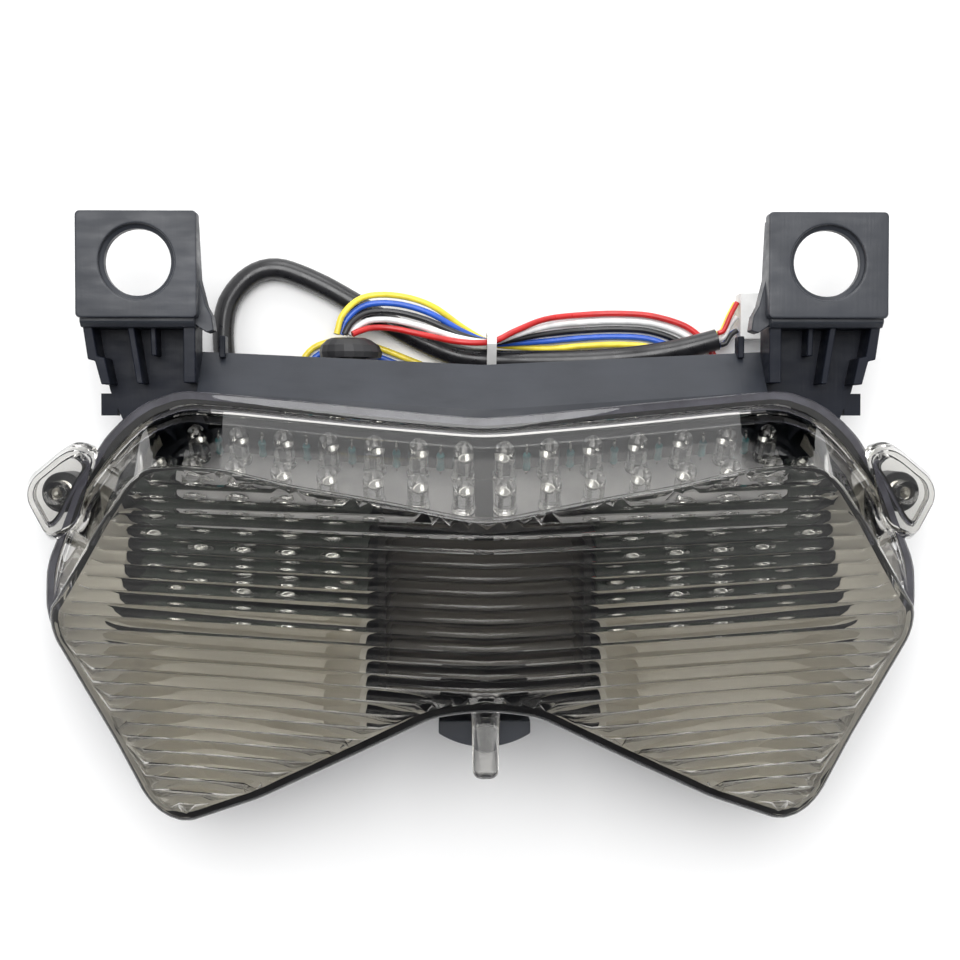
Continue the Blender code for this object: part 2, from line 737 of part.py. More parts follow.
for side, label in ((-1, "left"), (1, "right")):
    # plate board, tilted towards the sloping band
    bm = bmesh.new()
    ends = []
    for x in BOARD_ENDS:
        ends.append(
            [
                board_point(x, -3.4, 0.0),
                board_point(x, ROW_STEP + 3.2, 0.0),
                board_point(x, ROW_STEP + 3.2, BOARD_T),
                board_point(x, -3.4, BOARD_T),
            ]
        )
    loft_rings(bm, ends)
    face_out(bm)
    if side < 0:
        mirror_x(bm)
    make_object("plate_board_" + label, bm, white_board)

    # plate LEDs on two carrier strips joined by a short bridge
    bm = bmesh.new()
    low = BOARD_T + GAP
    strips = []
    for x in (3.4, 72.0):
        strips.append(
            [
                board_point(x, -1.5, low),
                board_point(x, ROW_STEP + 1.5, low),
                board_point(x, ROW_STEP + 1.5, low + STRIP_T),
                board_point(x, -1.5, low + STRIP_T),
            ]
        )
    loft_rings(bm, strips)
    face_out(bm)
    if side < 0:
        mirror_x(bm)
    leds = make_object("plate_leds_" + label, bm, clear_led)
    bm = bmesh.new()
    for x in LED_COLUMNS:
        for row in (0, 1):
            start = dome_centre(x, row) - U_AXIS * (BOARD_DROP - low - 0.3)
            reach = BOARD_DROP - low - 0.3
            profile = ((0.0, 1.2), (reach - 6.3, LED_R), (reach, LED_R), (reach + 2.1, 1.3))
            turned(bm, start, U_AXIS, profile, 8)
    face_out(bm)
    if side < 0:
        mirror_x(bm)
    boolean(leds, make_object("plate_led_bodies_" + label, bm, helper=True), "UNION")

    # signal board behind the fluted face, with its LEDs
    bm = bmesh.new()
    loft_rings(bm, signal_slab(SIGNAL_OUTLINE, 0.0, BOARD_T))
    face_out(bm)
    if side < 0:
        mirror_x(bm)
    board = make_object("signal_board_" + label, bm, green_board)
    for number, (px, py) in enumerate(POSTS):
        bm = bmesh.new()
        rod(bm, (px * side, py, signal_z(px) - 3.0), (px * side, py, signal_z(px) + 4.0), 1.6, sides=12)
        boolean(board, make_object("board_hole_%s_%d" % (label, number), bm, helper=True), "DIFFERENCE")
        bm = bmesh.new()
        top = signal_z(px) - 0.8
        rod(bm, (px * side, py, 1.5), (px * side, py, top), 3.2, 2.9, sides=12)
        boolean(housing, make_object("board_post_%s_%d" % (label, number), bm, helper=True), "UNION")
        bm = bmesh.new()
        rod(bm, (px * side, py, top - 7.0), (px * side, py, top + 2.0), 1.4, sides=12)
        boolean(housing, make_object("post_hole_%s_%d" % (label, number), bm, helper=True), "DIFFERENCE")
        bm = bmesh.new()
        seat = signal_z(px) + BOARD_T + SCREW_CLEAR
        shank = seat - top + 6.0
        screw_profile = (
            (0.0, 0.6),
            (1.0, 1.1),
            (shank, 1.1),
            (shank + 0.01, 2.3),
            (shank + 1.2, 2.2),
            (shank + 1.7, 1.3),
        )
        turned(bm, (px * side, py, top - 6.0), (0.0, 0.0, 1.0), screw_profile, 12)
        face_out(bm)
        make_object("board_screw_%s_%d" % (label, number + 1), bm, steel)

    bm = bmesh.new()
    lift = BOARD_T + GAP
    loft_rings(bm, signal_slab(CARRIER_OUTLINE, lift, lift + STRIP_T))
    face_out(bm)
    if side < 0:
        mirror_x(bm)
    leds = make_object("signal_leds_" + label, bm, clear_led)
    bm = bmesh.new()
    for px, py in SIGNAL_LEDS:
        start = (px, py, signal_z(px) + lift + 0.3)
        turned(bm, start, (0.0, 0.0, 1.0), ((0.0, 1.2), (3.5, LED_R), (9.6, LED_R), (11.6, 1.3)), 8)
    face_out(bm)
    if side < 0:
        mirror_x(bm)
    boolean(leds, make_object("signal_led_bodies_" + label, bm, helper=True), "UNION")

    # resistors standing between the columns, on a common foot behind the board's lower edge
    bm = bmesh.new()
    foot = []
    for x in (8.0, 66.5):
        foot.append(
            [
                board_point(x, -3.4, low + 0.9),
                board_point(x, -2.5, low + 0.9),
                board_point(x, -2.5, low + 1.5),
                board_point(x, -3.4, low + 1.5),
            ]
        )
    loft_rings(bm, foot)
    face_out(bm)
    if side < 0:
        mirror_x(bm)
    rack = make_object("resistors_" + label, bm, teal)
    bm = bmesh.new()
    for a, b in zip(LED_COLUMNS, LED_COLUMNS[1:]):
        x = (a + b) / 2.0
        turned(bm, board_point(x, -2.9, low + 1.2), U_AXIS, RESISTOR_PROFILE, 6)
    face_out(bm)
    if side < 0:
        mirror_x(bm)
    boolean(rack, make_object("resistor_bodies_" + label, bm, helper=True), "UNION")

    # reflector tray under the lower lobe
    bm = bmesh.new()
    outer_low = toward(TRAY_RIM, TRAY_MIDDLE, 0.70)
    inner_low = toward(TRAY_RIM, TRAY_MIDDLE, 0.66)
    inner_top = toward(TRAY_RIM, TRAY_MIDDLE, 0.955)
    loft_rings(
        bm,
        (
            [(x, y, 9.6) for x, y in inner_low],
            [(x, y, flange_z(x, y) + 1.0) for x, y in inner_top],
            [(x, y, flange_z(x, y) + 1.0) for x, y in TRAY_RIM],
            [(x, y, 8.0) for x, y in outer_low],
        ),
    )
    face_out(bm)
    if side < 0:
        mirror_x(bm)
    make_object("reflector_" + label, bm, silver)

    # lead from the middle of the harness entry to the signal board
    guide = bpy.data.curves.new("inner_lead_" + label, "CURVE")
    guide.dimensions = "3D"
    spline = guide.splines.new("POLY")
    start_x = -33.0 if side < 0 else 20.0
    turn_x = -40.0 if side < 0 else 34.0
    run = (
        (start_x, 8.5, 8.0),
        (start_x + 4.0 * side, 4.0, 5.4),
        (turn_x, -4.0, 5.0),
        (44.0 * side, -9.0, 6.4),
        (47.0 * side, -10.0, 10.0),
        (47.6 * side, -10.2, signal_z(47.6) - 0.5),
    )
    spline.points.add(len(run) - 1)
    for point, spot in zip(spline.points, run):
        point.co = (spot[0] * MM, (spot[1] + SHIFT_Y) * MM, spot[2] * MM, 1.0)
    guide.bevel_depth = 0.8 * MM
    guide.bevel_resolution = 1
    guide.use_fill_caps = True
    lead = bpy.data.objects.new("inner_lead_" + label, guide)
    body_collection.objects.link(lead)
    guide.materials.append(lead_red)

    # lens screw, put in from the back through the ear lug
    bm = bmesh.new()
    turned(
        bm,
        (SCREW[0] * side, SCREW[1], 14.2),
        (0.0, 0.0, 1.0),
        ((0.0, 2.6), (0.5, 3.0), (2.4, 3.0), (2.41, 1.35), (15.6, 1.35), (16.8, 0.5)),
        14,
    )
    face_out(bm)
    make_object("ear_screw_" + label, bm, steel)

# ---- chamber in the middle ----------------------------------------------
bm = bmesh.new()
CH_X, CH_TOP, CH_LOW = 24.6, -3.0, -39.6


def chamber_ring(shrink_by, low, height):
    wide = CH_X - shrink_by
    outline = (
        (-wide, low + shrink_by),
        (wide, low + shrink_by),
        (wide, CH_TOP - shrink_by),
        (-wide, CH_TOP - shrink_by),
    )
    return [(x, y, height(x, y)) for x, y in outline]


loft_rings(
    bm,
    (
        chamber_ring(1.8, CH_LOW + 4.0, flat(10.6)),
        chamber_ring(1.8, CH_LOW, below_face(16.0)),
        chamber_ring(0.0, CH_LOW, below_face(16.0)),
        chamber_ring(0.0, CH_LOW + 4.0, flat(8.6)),
    ),
)
face_out(bm)
make_object("centre_chamber", bm, material("chamber_grey", (0.05, 0.045, 0.04), 0.5))

# ---- harness -------------------------------------------------------------
bm = bmesh.new()
dome = ((-3.6, 3.9), (1.4, 3.9), (1.41, 7.7), (2.8, 8.0), (4.5, 7.4), (5.9, 5.6), (6.4, 4.4))
turned(bm, (SPOUT[0], 37.4, SPOUT[1]), (0.0, 1.0, 0.0), dome, 20)
face_out(bm)
for vert in bm.verts:
    if vert.co.y > 41.0:
        vert.co.x -= 0.25 * (vert.co.y - 41.0)
make_object("wire_grommet", bm, material("grommet_rubber", (0.012, 0.012, 0.014), 0.6))


def smooth(points, spacing):
    """Points read evenly along a smooth curve through the route."""
    pts = [Vector(p) for p in points]
    pts = [pts[0] * 2.0 - pts[1]] + pts + [pts[-1] * 2.0 - pts[-2]]
    fine = []
    for i in range(1, len(pts) - 2):
        p0, p1, p2, p3 = pts[i - 1], pts[i], pts[i + 1], pts[i + 2]
        for k in range(16):
            t = k / 16.0
            spot = (
                p1 * 2.0
                + (p2 - p0) * t
                + (p0 * 2.0 - p1 * 5.0 + p2 * 4.0 - p3) * t * t
                + (p1 * 3.0 - p0 - p2 * 3.0 + p3) * t * t * t
            ) * 0.5
            fine.append(spot)
    fine.append(pts[-2])
    lengths = [0.0]
    for a, b in zip(fine, fine[1:]):
        lengths.append(lengths[-1] + (b - a).length)
    count = max(2, int(round(lengths[-1] / spacing)) + 1)
    made = []
    k = 0
    for i in range(count):
        want = lengths[-1] * i / (count - 1)
        while k < len(fine) - 2 and lengths[k + 1] < want:
            k += 1
        span = max(1e-9, lengths[k + 1] - lengths[k])
        made.append(fine[k].lerp(fine[k + 1], (want - lengths[k]) / span))
    return made


def tube(name, points, diameter, mat, resolution):
    data = bpy.data.curves.new(name, "CURVE")
    data.dimensions = "3D"
    spline = data.splines.new("POLY")
    spline.points.add(len(points) - 1)
    for point, spot in zip(spline.points, points):
        point.co = (spot[0] * MM, (spot[1] + SHIFT_Y) * MM, spot[2] * MM, 1.0)
    data.bevel_depth = diameter * 0.5 * MM
    data.bevel_resolution = resolution
    data.use_fill_caps = True
    obj = bpy.data.objects.new(name, data)
    body_collection.objects.link(obj)
    data.materials.append(mat)


# Middle of the row of five wires: x, y, z, turn of the row in degrees, pitch and stagger of the row.
ROW_ROUTE = (
    (-34.6, 44.8, 11.0, 0.0, 1.0, 0.9),
    (-32.9, 47.8, 10.4, 0.0, 1.5, 0.7),
    (-28.8, 50.4, 9.4, 0.0, 2.0, 0.2),
    (-22.0, 50.6, 8.7, 0.0, 2.1, 0.0),
    (-14.0, 48.6, 8.6, 12.0, 2.0, 0.0),
    (-5.0, 44.8, 8.4, 60.0, 2.0, 0.0),
    (2.6, 43.0, 6.9, 90.0, 1.95, 0.0),
    (9.0, 44.0, 5.2, 118.0, 2.0, 0.0),
    (17.0, 45.4, 2.7, 158.0, 2.0, 0.0),
    (26.0, 46.4, 1.25, 180.0, 2.0, 0.0),
    (36.0, 46.8, 0.95, 180.0, 2.0, 0.0),
    (45.0, 46.0, 0.9, 180.0, 2.0, 0.0),
    (53.0, 42.6, 0.9, 180.0, 2.15, 0.0),
    (57.0, 36.8, 0.9, 180.0, 2.2, 0.0),
    (54.0, 30.4, 0.9, 180.0, 2.15, 0.0),
    (47.0, 27.6, 0.9, 180.0, 2.0, 0.0),
    (30.0, 27.4, 0.9, 180.0, 2.0, 0.0),
    (10.0, 26.8, 0.9, 180.0, 2.0, 0.0),
    (-6.0, 26.4, 0.9, 180.0, 2.0, 0.0),
    (-24.0, 26.4, 0.9, 180.0, 2.0, 0.0),
    (-40.0, 26.8, 1.1, 180.0, 2.0, 0.0),
    (-47.0, 27.1, 1.5, 180.0, 1.6, -0.62),
    (-53.2, 27.4, 2.75, 180.0, 1.05, -0.85),
)
# The yellow and the blue wire swing out past the edge of the top plate on their way back.
SWING = (
    (10.0, 29.8),
    (-2.0, 31.2),
    (-10.0, 34.2),
    (-19.0, 37.8),
    (-28.0, 41.2),
    (-36.0, 42.7),
    (-42.6, 41.0),
    (-45.8, 36.8),
    (-47.2, 32.8),
)
WIRES = (
    ("wire_yellow", (0.75, 0.55, 0.03)),
    ("wire_blue", (0.02, 0.09, 0.42)),
    ("wire_black", (0.012, 0.012, 0.014)),
    ("wire_white", (0.78, 0.78, 0.78)),
    ("wire_red", (0.5, 0.012, 0.012)),
)


def offset_spot(points, index, across, ends):
    """A point beside a route in plan, square to it. ends gives the headings at its two ends."""
    before = Vector(points[max(0, index - 1)][:2])
    after = Vector(points[min(len(points) - 1, index + 1)][:2])
    heading = (after - before).normalized()
    if index == 0:
        heading = Vector(ends[0])
    if index == len(points) - 1:
        heading = Vector(ends[1])
    here = points[index]
    return here[0] - heading.y * across, here[1] + heading.x * across


def row_spot(index, number):
    """Where a wire of the row sits at a route point."""
    here = ROW_ROUTE[index]
    offset = here[4] * (2.0 - number)
    turn = math.radians(here[3])
    stagger = here[5] if number % 2 == 0 else -here[5]
    x, y = offset_spot(ROW_ROUTE, index, offset * math.cos(turn), ((0.0, 1.0), (-1.0, 0.0)))
    return x, y, here[2] - offset * math.sin(turn) + stagger


for number, (name, color) in enumerate(WIRES):
    route = [row_spot(i, number) for i in range(len(ROW_ROUTE))]
    if number < 2:
        across = -1.1 if number == 0 else 1.1
        swing = [offset_spot(SWING, i, across, ((-1.0, 0.2), (-0.3, -1.0))) for i in range(len(SWING))]
        route = route[:17] + [(x, y, 0.95) for x, y in swing] + route[22:]
    points = smooth(route, 4.6)
    tube(name, points, WIRE_D, material(name, color, 0.35), 2)

SLEEVE_ROUTE = (
    (-54.4, 27.4, 2.8),
    (-58.6, 28.2, 2.8),
    (-62.8, 31.0, 2.8),
    (-65.4, 36.0, 2.8),
    (-66.2, 42.0, 2.8),
    (-66.2, 48.0, 2.8),
    (-64.9, 53.5, 2.8),
    (-61.4, 58.4, 2.8),
    (-56.9, 61.4, 2.8),
    (-52.0, 62.0, 2.8),
    (-46.6, 60.4, 2.8),
    (-39.6, 57.2, 2.8),
    (-32.2, 53.0, 2.8),
    (-24.0, 48.2, 2.8),
    (-15.0, 43.4, 2.8),
    (-6.0, 39.8, 3.2),
    (2.6, 38.6, 4.1),
    (12.0, 38.4, 3.2),
    (25.0, 38.6, 2.8),
    (36.0, 39.2, 3.4),
    (45.0, 40.2, 5.0),
    (53.0, 41.8, 5.0),
    (60.8, 43.9, 4.8),
)
points = smooth(SLEEVE_ROUTE, 5.5)
tube("cable_sleeve", points, SLEEVE_D, material("sleeve_black", (0.01, 0.01, 0.012), 0.5), 4)

# white tie round the wires and the sleeve
bm = bmesh.new()
tie_white = material("tie_white", (0.8, 0.8, 0.8), 0.4)
TIE = (
    (35.0, 3.0),
    (36.4, 0.95),
    (41.6, 0.95),
    (44.9, 1.6),
    (45.1, 11.4),
    (44.1, 12.6),
    (42.0, 12.5),
    (35.6, 7.2),
)
middle = (39.6, 6.0)
outer = []
inner = []
for y, z in TIE:
    away = Vector((y - middle[0], z - middle[1])).normalized()
    inner.append((y, z))
    outer.append((y + away.x * 0.9, max(0.0, z + away.y * 0.9)))
loft_rings(
    bm,
    (
        [(1.4, y, z) for y, z in inner],
        [(3.8, y, z) for y, z in inner],
        [(3.8, y, z) for y, z in outer],
        [(1.4, y, z) for y, z in outer],
    ),
    closed_chain=True,
)
face_out(bm)
make_object("cable_tie", bm, tie_white)

# plug lying on the floor, with its leads
bm = bmesh.new()
box(bm, (66.4, 44.0, 0.0), (81.0, 55.6, 8.0))
plug = make_object("plug_housing", bm, tie_white)
bm = bmesh.new()
box(bm, (78.0, 45.2, 1.2), (83.0, 54.4, 6.8))
boolean(plug, make_object("plug_mouth", bm, helper=True), "DIFFERENCE")
bm = bmesh.new()
box(bm, (70.0, 47.6, 7.6), (79.0, 52.0, 9.2))
boolean(plug, make_object("plug_latch", bm, helper=True), "UNION")

LEADS = (
    ("plug_lead_red", (0.5, 0.012, 0.012), 1.5, 1.5, 53.4, 5.4),
    ("plug_lead_yellow", (0.75, 0.55, 0.03), 1.5, -1.3, 53.4, 2.4),
    ("plug_lead_white", (0.78, 0.78, 0.78), 0.0, 0.3, 49.8, 4.4),
    ("plug_lead_black", (0.012, 0.012, 0.014), -1.5, 1.4, 46.2, 5.4),
    ("plug_lead_blue", (0.02, 0.09, 0.42), -1.5, -1.1, 46.2, 2.4),
)
for name, color, across, up, end_y, end_z in LEADS:
    route = (
        (61.2 - 0.26 * across, 43.95 + across, 4.8 + up),
        (62.6 - 0.2 * across, 44.5 + across * 1.1, 4.7 + up),
        (64.2, 0.45 * (44.9 + across) + 0.55 * end_y, 0.5 * (4.8 + up) + 0.5 * end_z),
        (65.6, end_y, end_z),
    )
    points = smooth(route, 1.5)
    tube(name, points, 1.3, material(name, color, 0.35), 2)
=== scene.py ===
"""Looks of the motorcycle LED tail light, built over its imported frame."""

import math

import bmesh
import bpy
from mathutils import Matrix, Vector
from mathutils.geometry import delaunay_2d_cdt


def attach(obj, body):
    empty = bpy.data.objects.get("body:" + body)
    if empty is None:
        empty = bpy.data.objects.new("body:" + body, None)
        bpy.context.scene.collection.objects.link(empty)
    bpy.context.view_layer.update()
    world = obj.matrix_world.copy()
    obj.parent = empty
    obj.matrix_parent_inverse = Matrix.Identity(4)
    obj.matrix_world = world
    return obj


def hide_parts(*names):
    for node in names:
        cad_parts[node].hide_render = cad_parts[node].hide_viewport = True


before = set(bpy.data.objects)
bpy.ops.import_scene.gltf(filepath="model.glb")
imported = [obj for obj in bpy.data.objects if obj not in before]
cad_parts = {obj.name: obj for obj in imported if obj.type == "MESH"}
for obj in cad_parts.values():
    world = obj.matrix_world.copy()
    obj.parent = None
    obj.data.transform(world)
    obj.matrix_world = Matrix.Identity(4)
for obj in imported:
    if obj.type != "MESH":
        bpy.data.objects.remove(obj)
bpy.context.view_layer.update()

# Shapes below are in millimetres; every point goes through here into the frame's metres.
MM = 0.001
SHIFT_Y = 1.15


def metres(x, y, z):
    return Vector((x, y + SHIFT_Y, z)) * MM


# ---- driving sizes, as in the CAD ----------------------------------------
FACE_TOP_Z = 70.5
FACE_SIDE_FALL = 0.25
FACE_TAIL_FALL = 0.165
FLANGE_Z = 39.0
FLANGE_SIDE_FALL = 0.12
FLANGE_TAIL_FALL = 0.10
FLANGE_Z_AT_Y = 22.0
RIDGE_ROUND = 10.0
FLANGE_LIP = 2.2
FOOT_RISE = 6.6
SEAL_GAP = 1.5
PIN_Z = 55.0
PIN_ROOT_Y = -41.8
TAB_HOLE = (82.4, 60.6)
LED_R = 2.5
LED_TILT = math.radians(40.0)
LED_COLUMNS = (4.9, 15.5, 26.0, 37.0, 48.0, 59.0, 69.5)
LED_AXIS = Vector((0.0, math.sin(LED_TILT), math.cos(LED_TILT)))
ROW_AXIS = Vector((0.0, -math.cos(LED_TILT), math.sin(LED_TILT)))
ROW_STEP = 10.3
BOARD_DROP = 10.4
BOARD_T = 1.5
BOARD_EDGE = 3.4
DIODE_GAP = 0.9
DIODE_LEG = 1.27
LEG_R = 0.25
EAR_SCREW = (102.8, 5.4)
EAR_Z = 25.6
EAR_RISE = 8.6
SPOUT = (-33.0, 11.6)
TOWARD_Z = Vector((0.0, 0.0, 1.0))
FLUTE_PITCH = 3.15
FLUTE_SAG = 0.46
FLUTE_PHASE = -38.2
FLUTE_STEPS = 10
FLUTE_SLANT = 0.035
LENS_FLOOR = 2.15
LENS_REACH = 106.0
# How far inside the face's edge the lens wall's inner corner runs: less at the top than round the sides.
INNER_INSET = 7 * (1.1,) + (1.3, 1.7, 2.0)
INNER_INSET_SIDE = 2.2
CURVED_MIDDLE = 12.2

# Outline stations on the +X half, from the top middle round to the notch:
# face edge, lens foot, flange edge, back edge of the housing.
STATIONS = (
    ((0.0, 1.5), (0.0, 21.0), (0.0, 23.5), (0.0, 14.0)),
    ((5.0, 1.8), (5.0, 21.2), (5.0, 23.8), (5.0, 14.2)),
    ((12.0, 3.1), (12.0, 21.8), (12.0, 24.4), (12.0, 14.8)),
    ((28.0, 6.0), (28.0, 23.2), (28.0, 26.0), (27.5, 16.2)),
    ((44.0, 8.5), (44.0, 24.8), (44.0, 27.6), (43.0, 17.6)),
    ((59.0, 12.0), (59.0, 26.3), (59.0, 29.0), (57.5, 19.0)),
    ((69.0, 12.8), (71.0, 27.2), (72.5, 30.2), (69.0, 20.0)),
    ((77.5, 12.2), (80.0, 24.0), (82.0, 27.0), (77.0, 17.5)),
    ((82.0, 8.8), (87.0, 18.0), (90.0, 20.5), (83.5, 12.0)),
    ((88.8, -0.5), (95.0, 8.0), (98.0, 9.0), (89.0, 3.0)),
    ((93.0, -7.0), (101.0, -3.0), (103.0, -4.0), (92.5, -6.0)),
    ((96.7, -13.0), (104.0, -11.0), (106.5, -12.0), (94.5, -13.0)),
    ((100.2, -18.6), (105.0, -18.0), (107.0, -19.0), (95.5, -18.5)),
    ((102.3, -21.5), (105.0, -22.5), (107.0, -23.5), (95.5, -23.5)),
    ((101.7, -27.5), (103.5, -28.5), (105.4, -29.5), (94.0, -28.5)),
    ((87.2, -52.8), (88.5, -54.2), (90.0, -56.0), (80.0, -51.0)),
    ((80.2, -66.4), (81.0, -68.0), (82.0, -70.0), (74.5, -62.0)),
    ((76.0, -70.5), (76.5, -72.0), (77.0, -73.8), (71.0, -64.5)),
    ((70.3, -72.1), (70.0, -73.5), (70.0, -75.0), (65.5, -65.5)),
    ((52.6, -65.3), (52.0, -66.5), (52.0, -68.0), (50.0, -59.5)),
    ((32.0, -54.8), (32.0, -56.0), (32.0, -57.6), (31.0, -49.5)),
    ((12.0, -44.4), (12.0, -45.4), (12.0, -47.0), (12.0, -39.5)),
    ((5.0, -43.1), (5.0, -44.0), (5.0, -45.5), (5.0, -38.2)),
    ((0.0, -42.9), (0.0, -43.7), (0.0, -45.2), (0.0, -38.0)),
)
FACE = [s[0] for s in STATIONS]
FOOT = [s[1] for s in STATIONS]
FLANGE = [s[2] for s in STATIONS]
BACK = [s[3] for s in STATIONS]


def from_ridge(x):
    """Distance from the middle line, rounded off near it."""
    return math.sqrt(x * x + RIDGE_ROUND * RIDGE_ROUND) - RIDGE_ROUND


def face_z(x, y):
    return FACE_TOP_Z - FACE_SIDE_FALL * from_ridge(x) + FACE_TAIL_FALL * y


def flange_z(x, y):
    return FLANGE_Z - FLANGE_SIDE_FALL * from_ridge(x) - FLANGE_TAIL_FALL * (FLANGE_Z_AT_Y - y)


def above_flange(rise):
    return lambda x, y: flange_z(x, y) + rise


def below_face(drop):
    return lambda x, y: face_z(x, y) - drop


def flat(z):
    return lambda x, y: z


# ---- outlines ------------------------------------------------------------
def inset(chain, amount):
    """The half outline moved inwards, its ends kept on x = 0."""
    points = [Vector(p) for p in chain]
    first = Vector((-points[1].x, points[1].y))
    last = Vector((-points[-2].x, points[-2].y))
    whole = [first] + points + [last]
    moved = []
    for i in range(1, len(whole) - 1):
        before = (whole[i] - whole[i - 1]).normalized()
        after = (whole[i + 1] - whole[i]).normalized()
        n1 = Vector((before.y, -before.x))
        n2 = Vector((after.y, -after.x))
        mid = (n1 + n2).normalized()
        spot = whole[i] + mid * (amount / max(0.5, mid.dot(n1)))
        if i == 1 or i == len(whole) - 2:
            spot.x = 0.0
        moved.append((spot.x, spot.y))
    return moved


def inner_corner():
    """Inner edge of the lens face: close to the ridge at the top, further in at the sides."""
    made = []
    near = inset(FACE, 1.0)
    for i, (edge, step) in enumerate(zip(FACE, near)):
        amount = INNER_INSET[i] if i < len(INNER_INSET) else INNER_INSET_SIDE
        made.append((edge[0] + (step[0] - edge[0]) * amount, edge[1] + (step[1] - edge[1]) * amount))
    return made


def raised_foot(extra):
    """Outline of the lens wall at FOOT_RISE, and its inner side at some more inset."""
    inner = inset(FOOT, 1.0)
    made = []
    for face, foot, step in zip(FACE, FOOT, inner):
        wide = math.hypot(face[0] - foot[0], face[1] - foot[1])
        share = min(1.8, 0.3 * wide)
        made.append((foot[0] + (step[0] - foot[0]) * share, foot[1] + (step[1] - foot[1]) * share))
    return inset(made, extra) if extra else made


def rounded(chain):
    """The outline with its corners cut in two rounds, by the same shares on every ring."""
    shares = []
    for a, b in zip(FACE, FACE[1:]):
        shares.append(min(0.25, 1.5 / max(0.1, math.hypot(b[0] - a[0], b[1] - a[1]))))
    points = [Vector(p) for p in chain]
    for turn in range(2):
        cut = [points[0]]
        new_shares = [shares[0]]
        for i in range(1, len(points) - 1):
            cut.append(points[i].lerp(points[i - 1], shares[i - 1]))
            cut.append(points[i].lerp(points[i + 1], shares[i]))
            new_shares.append(0.25)
            new_shares.append(shares[i] * 0.5)
        cut.append(points[-1])
        points = cut
        shares = new_shares
    return [(p.x, p.y) for p in points]


def ring(chain, height):
    return [(x, y, height(x, y)) for x, y in rounded(chain)]


def flange_rings(section):
    """Rings that carry a section round the flange: inset from its edge, and rise above its underside."""
    return [ring(inset(FLANGE, step), above_flange(rise)) for step, rise in section]


# ---- meshes --------------------------------------------------------------
def plain_object(name, bm):
    """An object with the mesh of bm, which is in millimetres and is used up."""
    for vert in bm.verts:
        vert.co = metres(*vert.co)
    mesh = bpy.data.meshes.new(name)
    bm.to_mesh(mesh)
    bm.free()
    obj = bpy.data.objects.new(name, mesh)
    bpy.context.scene.collection.objects.link(obj)
    return obj


def repaint(obj, look):
    obj.data.materials.clear()
    obj.data.materials.append(look)


def add_object(name, bm, look, smooth=40.0, bevel=0.0, even=False):
    """A piece on the one body: edges flatter than smooth are shaded round, bevel is in millimetres."""
    obj = plain_object(name, bm)
    mesh = obj.data
    mesh.materials.append(look)
    if bevel:
        rim = obj.modifiers.new("edges", "BEVEL")
        rim.width = bevel * MM
        rim.segments = 2
        rim.limit_method = "ANGLE"
        rim.angle_limit = math.radians(32.0)
        rim.harden_normals = False
    mesh.shade_smooth()
    if smooth < 180.0:
        mesh.set_sharp_from_angle(angle=math.radians(smooth))
    if bevel or even:
        flats = obj.modifiers.new("normals", "WEIGHTED_NORMAL")
        flats.keep_sharp = True
    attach(obj, "root")
    return obj


def bridge(bm, loops, closed):
    for low, high in zip(loops, loops[1:]):
        count = len(low)
        for i in range(count if closed else count - 1):
            j = (i + 1) % count
            bm.faces.new((low[i], low[j], high[j], high[i]))


def outward(bm):
    bmesh.ops.recalc_face_normals(bm, faces=bm.faces)
    total = 0.0
    for face in bm.faces:
        first = face.verts[0].co
        for i in range(1, len(face.verts) - 1):
            total += first.dot(face.verts[i].co.cross(face.verts[i + 1].co))
    if total < 0.0:
        bmesh.ops.reverse_faces(bm, faces=bm.faces)


def both_halves(bm):
    """Adds the mirror image of a half body and joins it at x = 0."""
    grown = bmesh.ops.duplicate(bm, geom=bm.verts[:] + bm.edges[:] + bm.faces[:])
    copies = [item for item in grown["geom"] if isinstance(item, bmesh.types.BMVert)]
    faces = [item for item in grown["geom"] if isinstance(item, bmesh.types.BMFace)]
    for vert in copies:
        vert.co.x = -vert.co.x
    bmesh.ops.reverse_faces(bm, faces=faces)
    bmesh.ops.remove_doubles(bm, verts=bm.verts, dist=0.002)


def half_cap(bm, loop):
    """Closes a half outline: strips of quads over the curved middle, one face over the rest."""
    split = 0
    while loop[split + 1].co.x < CURVED_MIDDLE:
        split += 1
    low = len(loop) - 1
    while loop[low - 1].co.x < CURVED_MIDDLE:
        low -= 1
    steps = min(split, len(loop) - 1 - low)
    for i in range(steps):
        j = len(loop) - 1 - i
        bm.faces.new((loop[i], loop[i + 1], loop[j - 1], loop[j]))
    bm.faces.new(loop[steps : len(loop) - steps])


def half_shell(rings, cap_first=False, cap_last=False, ring_closed=False):
    bm = bmesh.new()
    loops = [[bm.verts.new(p) for p in one] for one in rings]
    bridge(bm, loops + [loops[0]] if ring_closed else loops, False)
    if cap_first:
        half_cap(bm, loops[0])
    if cap_last:
        half_cap(bm, loops[-1])
    bmesh.ops.triangulate(bm, faces=[f for f in bm.faces if len(f.verts) > 4])
    outward(bm)
    both_halves(bm)
    return bm


def circle(cx, cy, radius, sides):
    turns = [2.0 * math.pi * i / sides for i in range(sides)]
    return [(cx + radius * math.cos(angle), cy + radius * math.sin(angle)) for angle in turns]


def lathe(bm, start, axis, profile, sides):
    """A closed turned body. The profile lists distance along the axis and radius."""
    along = Vector(axis).normalized()
    side = along.orthogonal().normalized()
    other = along.cross(side)
    rings = []
    for distance, radius in profile:
        centre = Vector(start) + along * distance
        spots = circle(0.0, 0.0, 1.0, sides)
        rings.append([bm.verts.new(centre + (side * a + other * b) * radius) for a, b in spots])
    bridge(bm, rings, True)
    bm.faces.new(list(reversed(rings[0])))
    bm.faces.new(rings[-1])


def turned_wall(bm, rings):
    """Closes a stack of rings round on itself, as a wall with a hole through it."""
    loops = [[bm.verts.new(p) for p in one] for one in rings]
    bridge(bm, loops + [loops[0]], True)


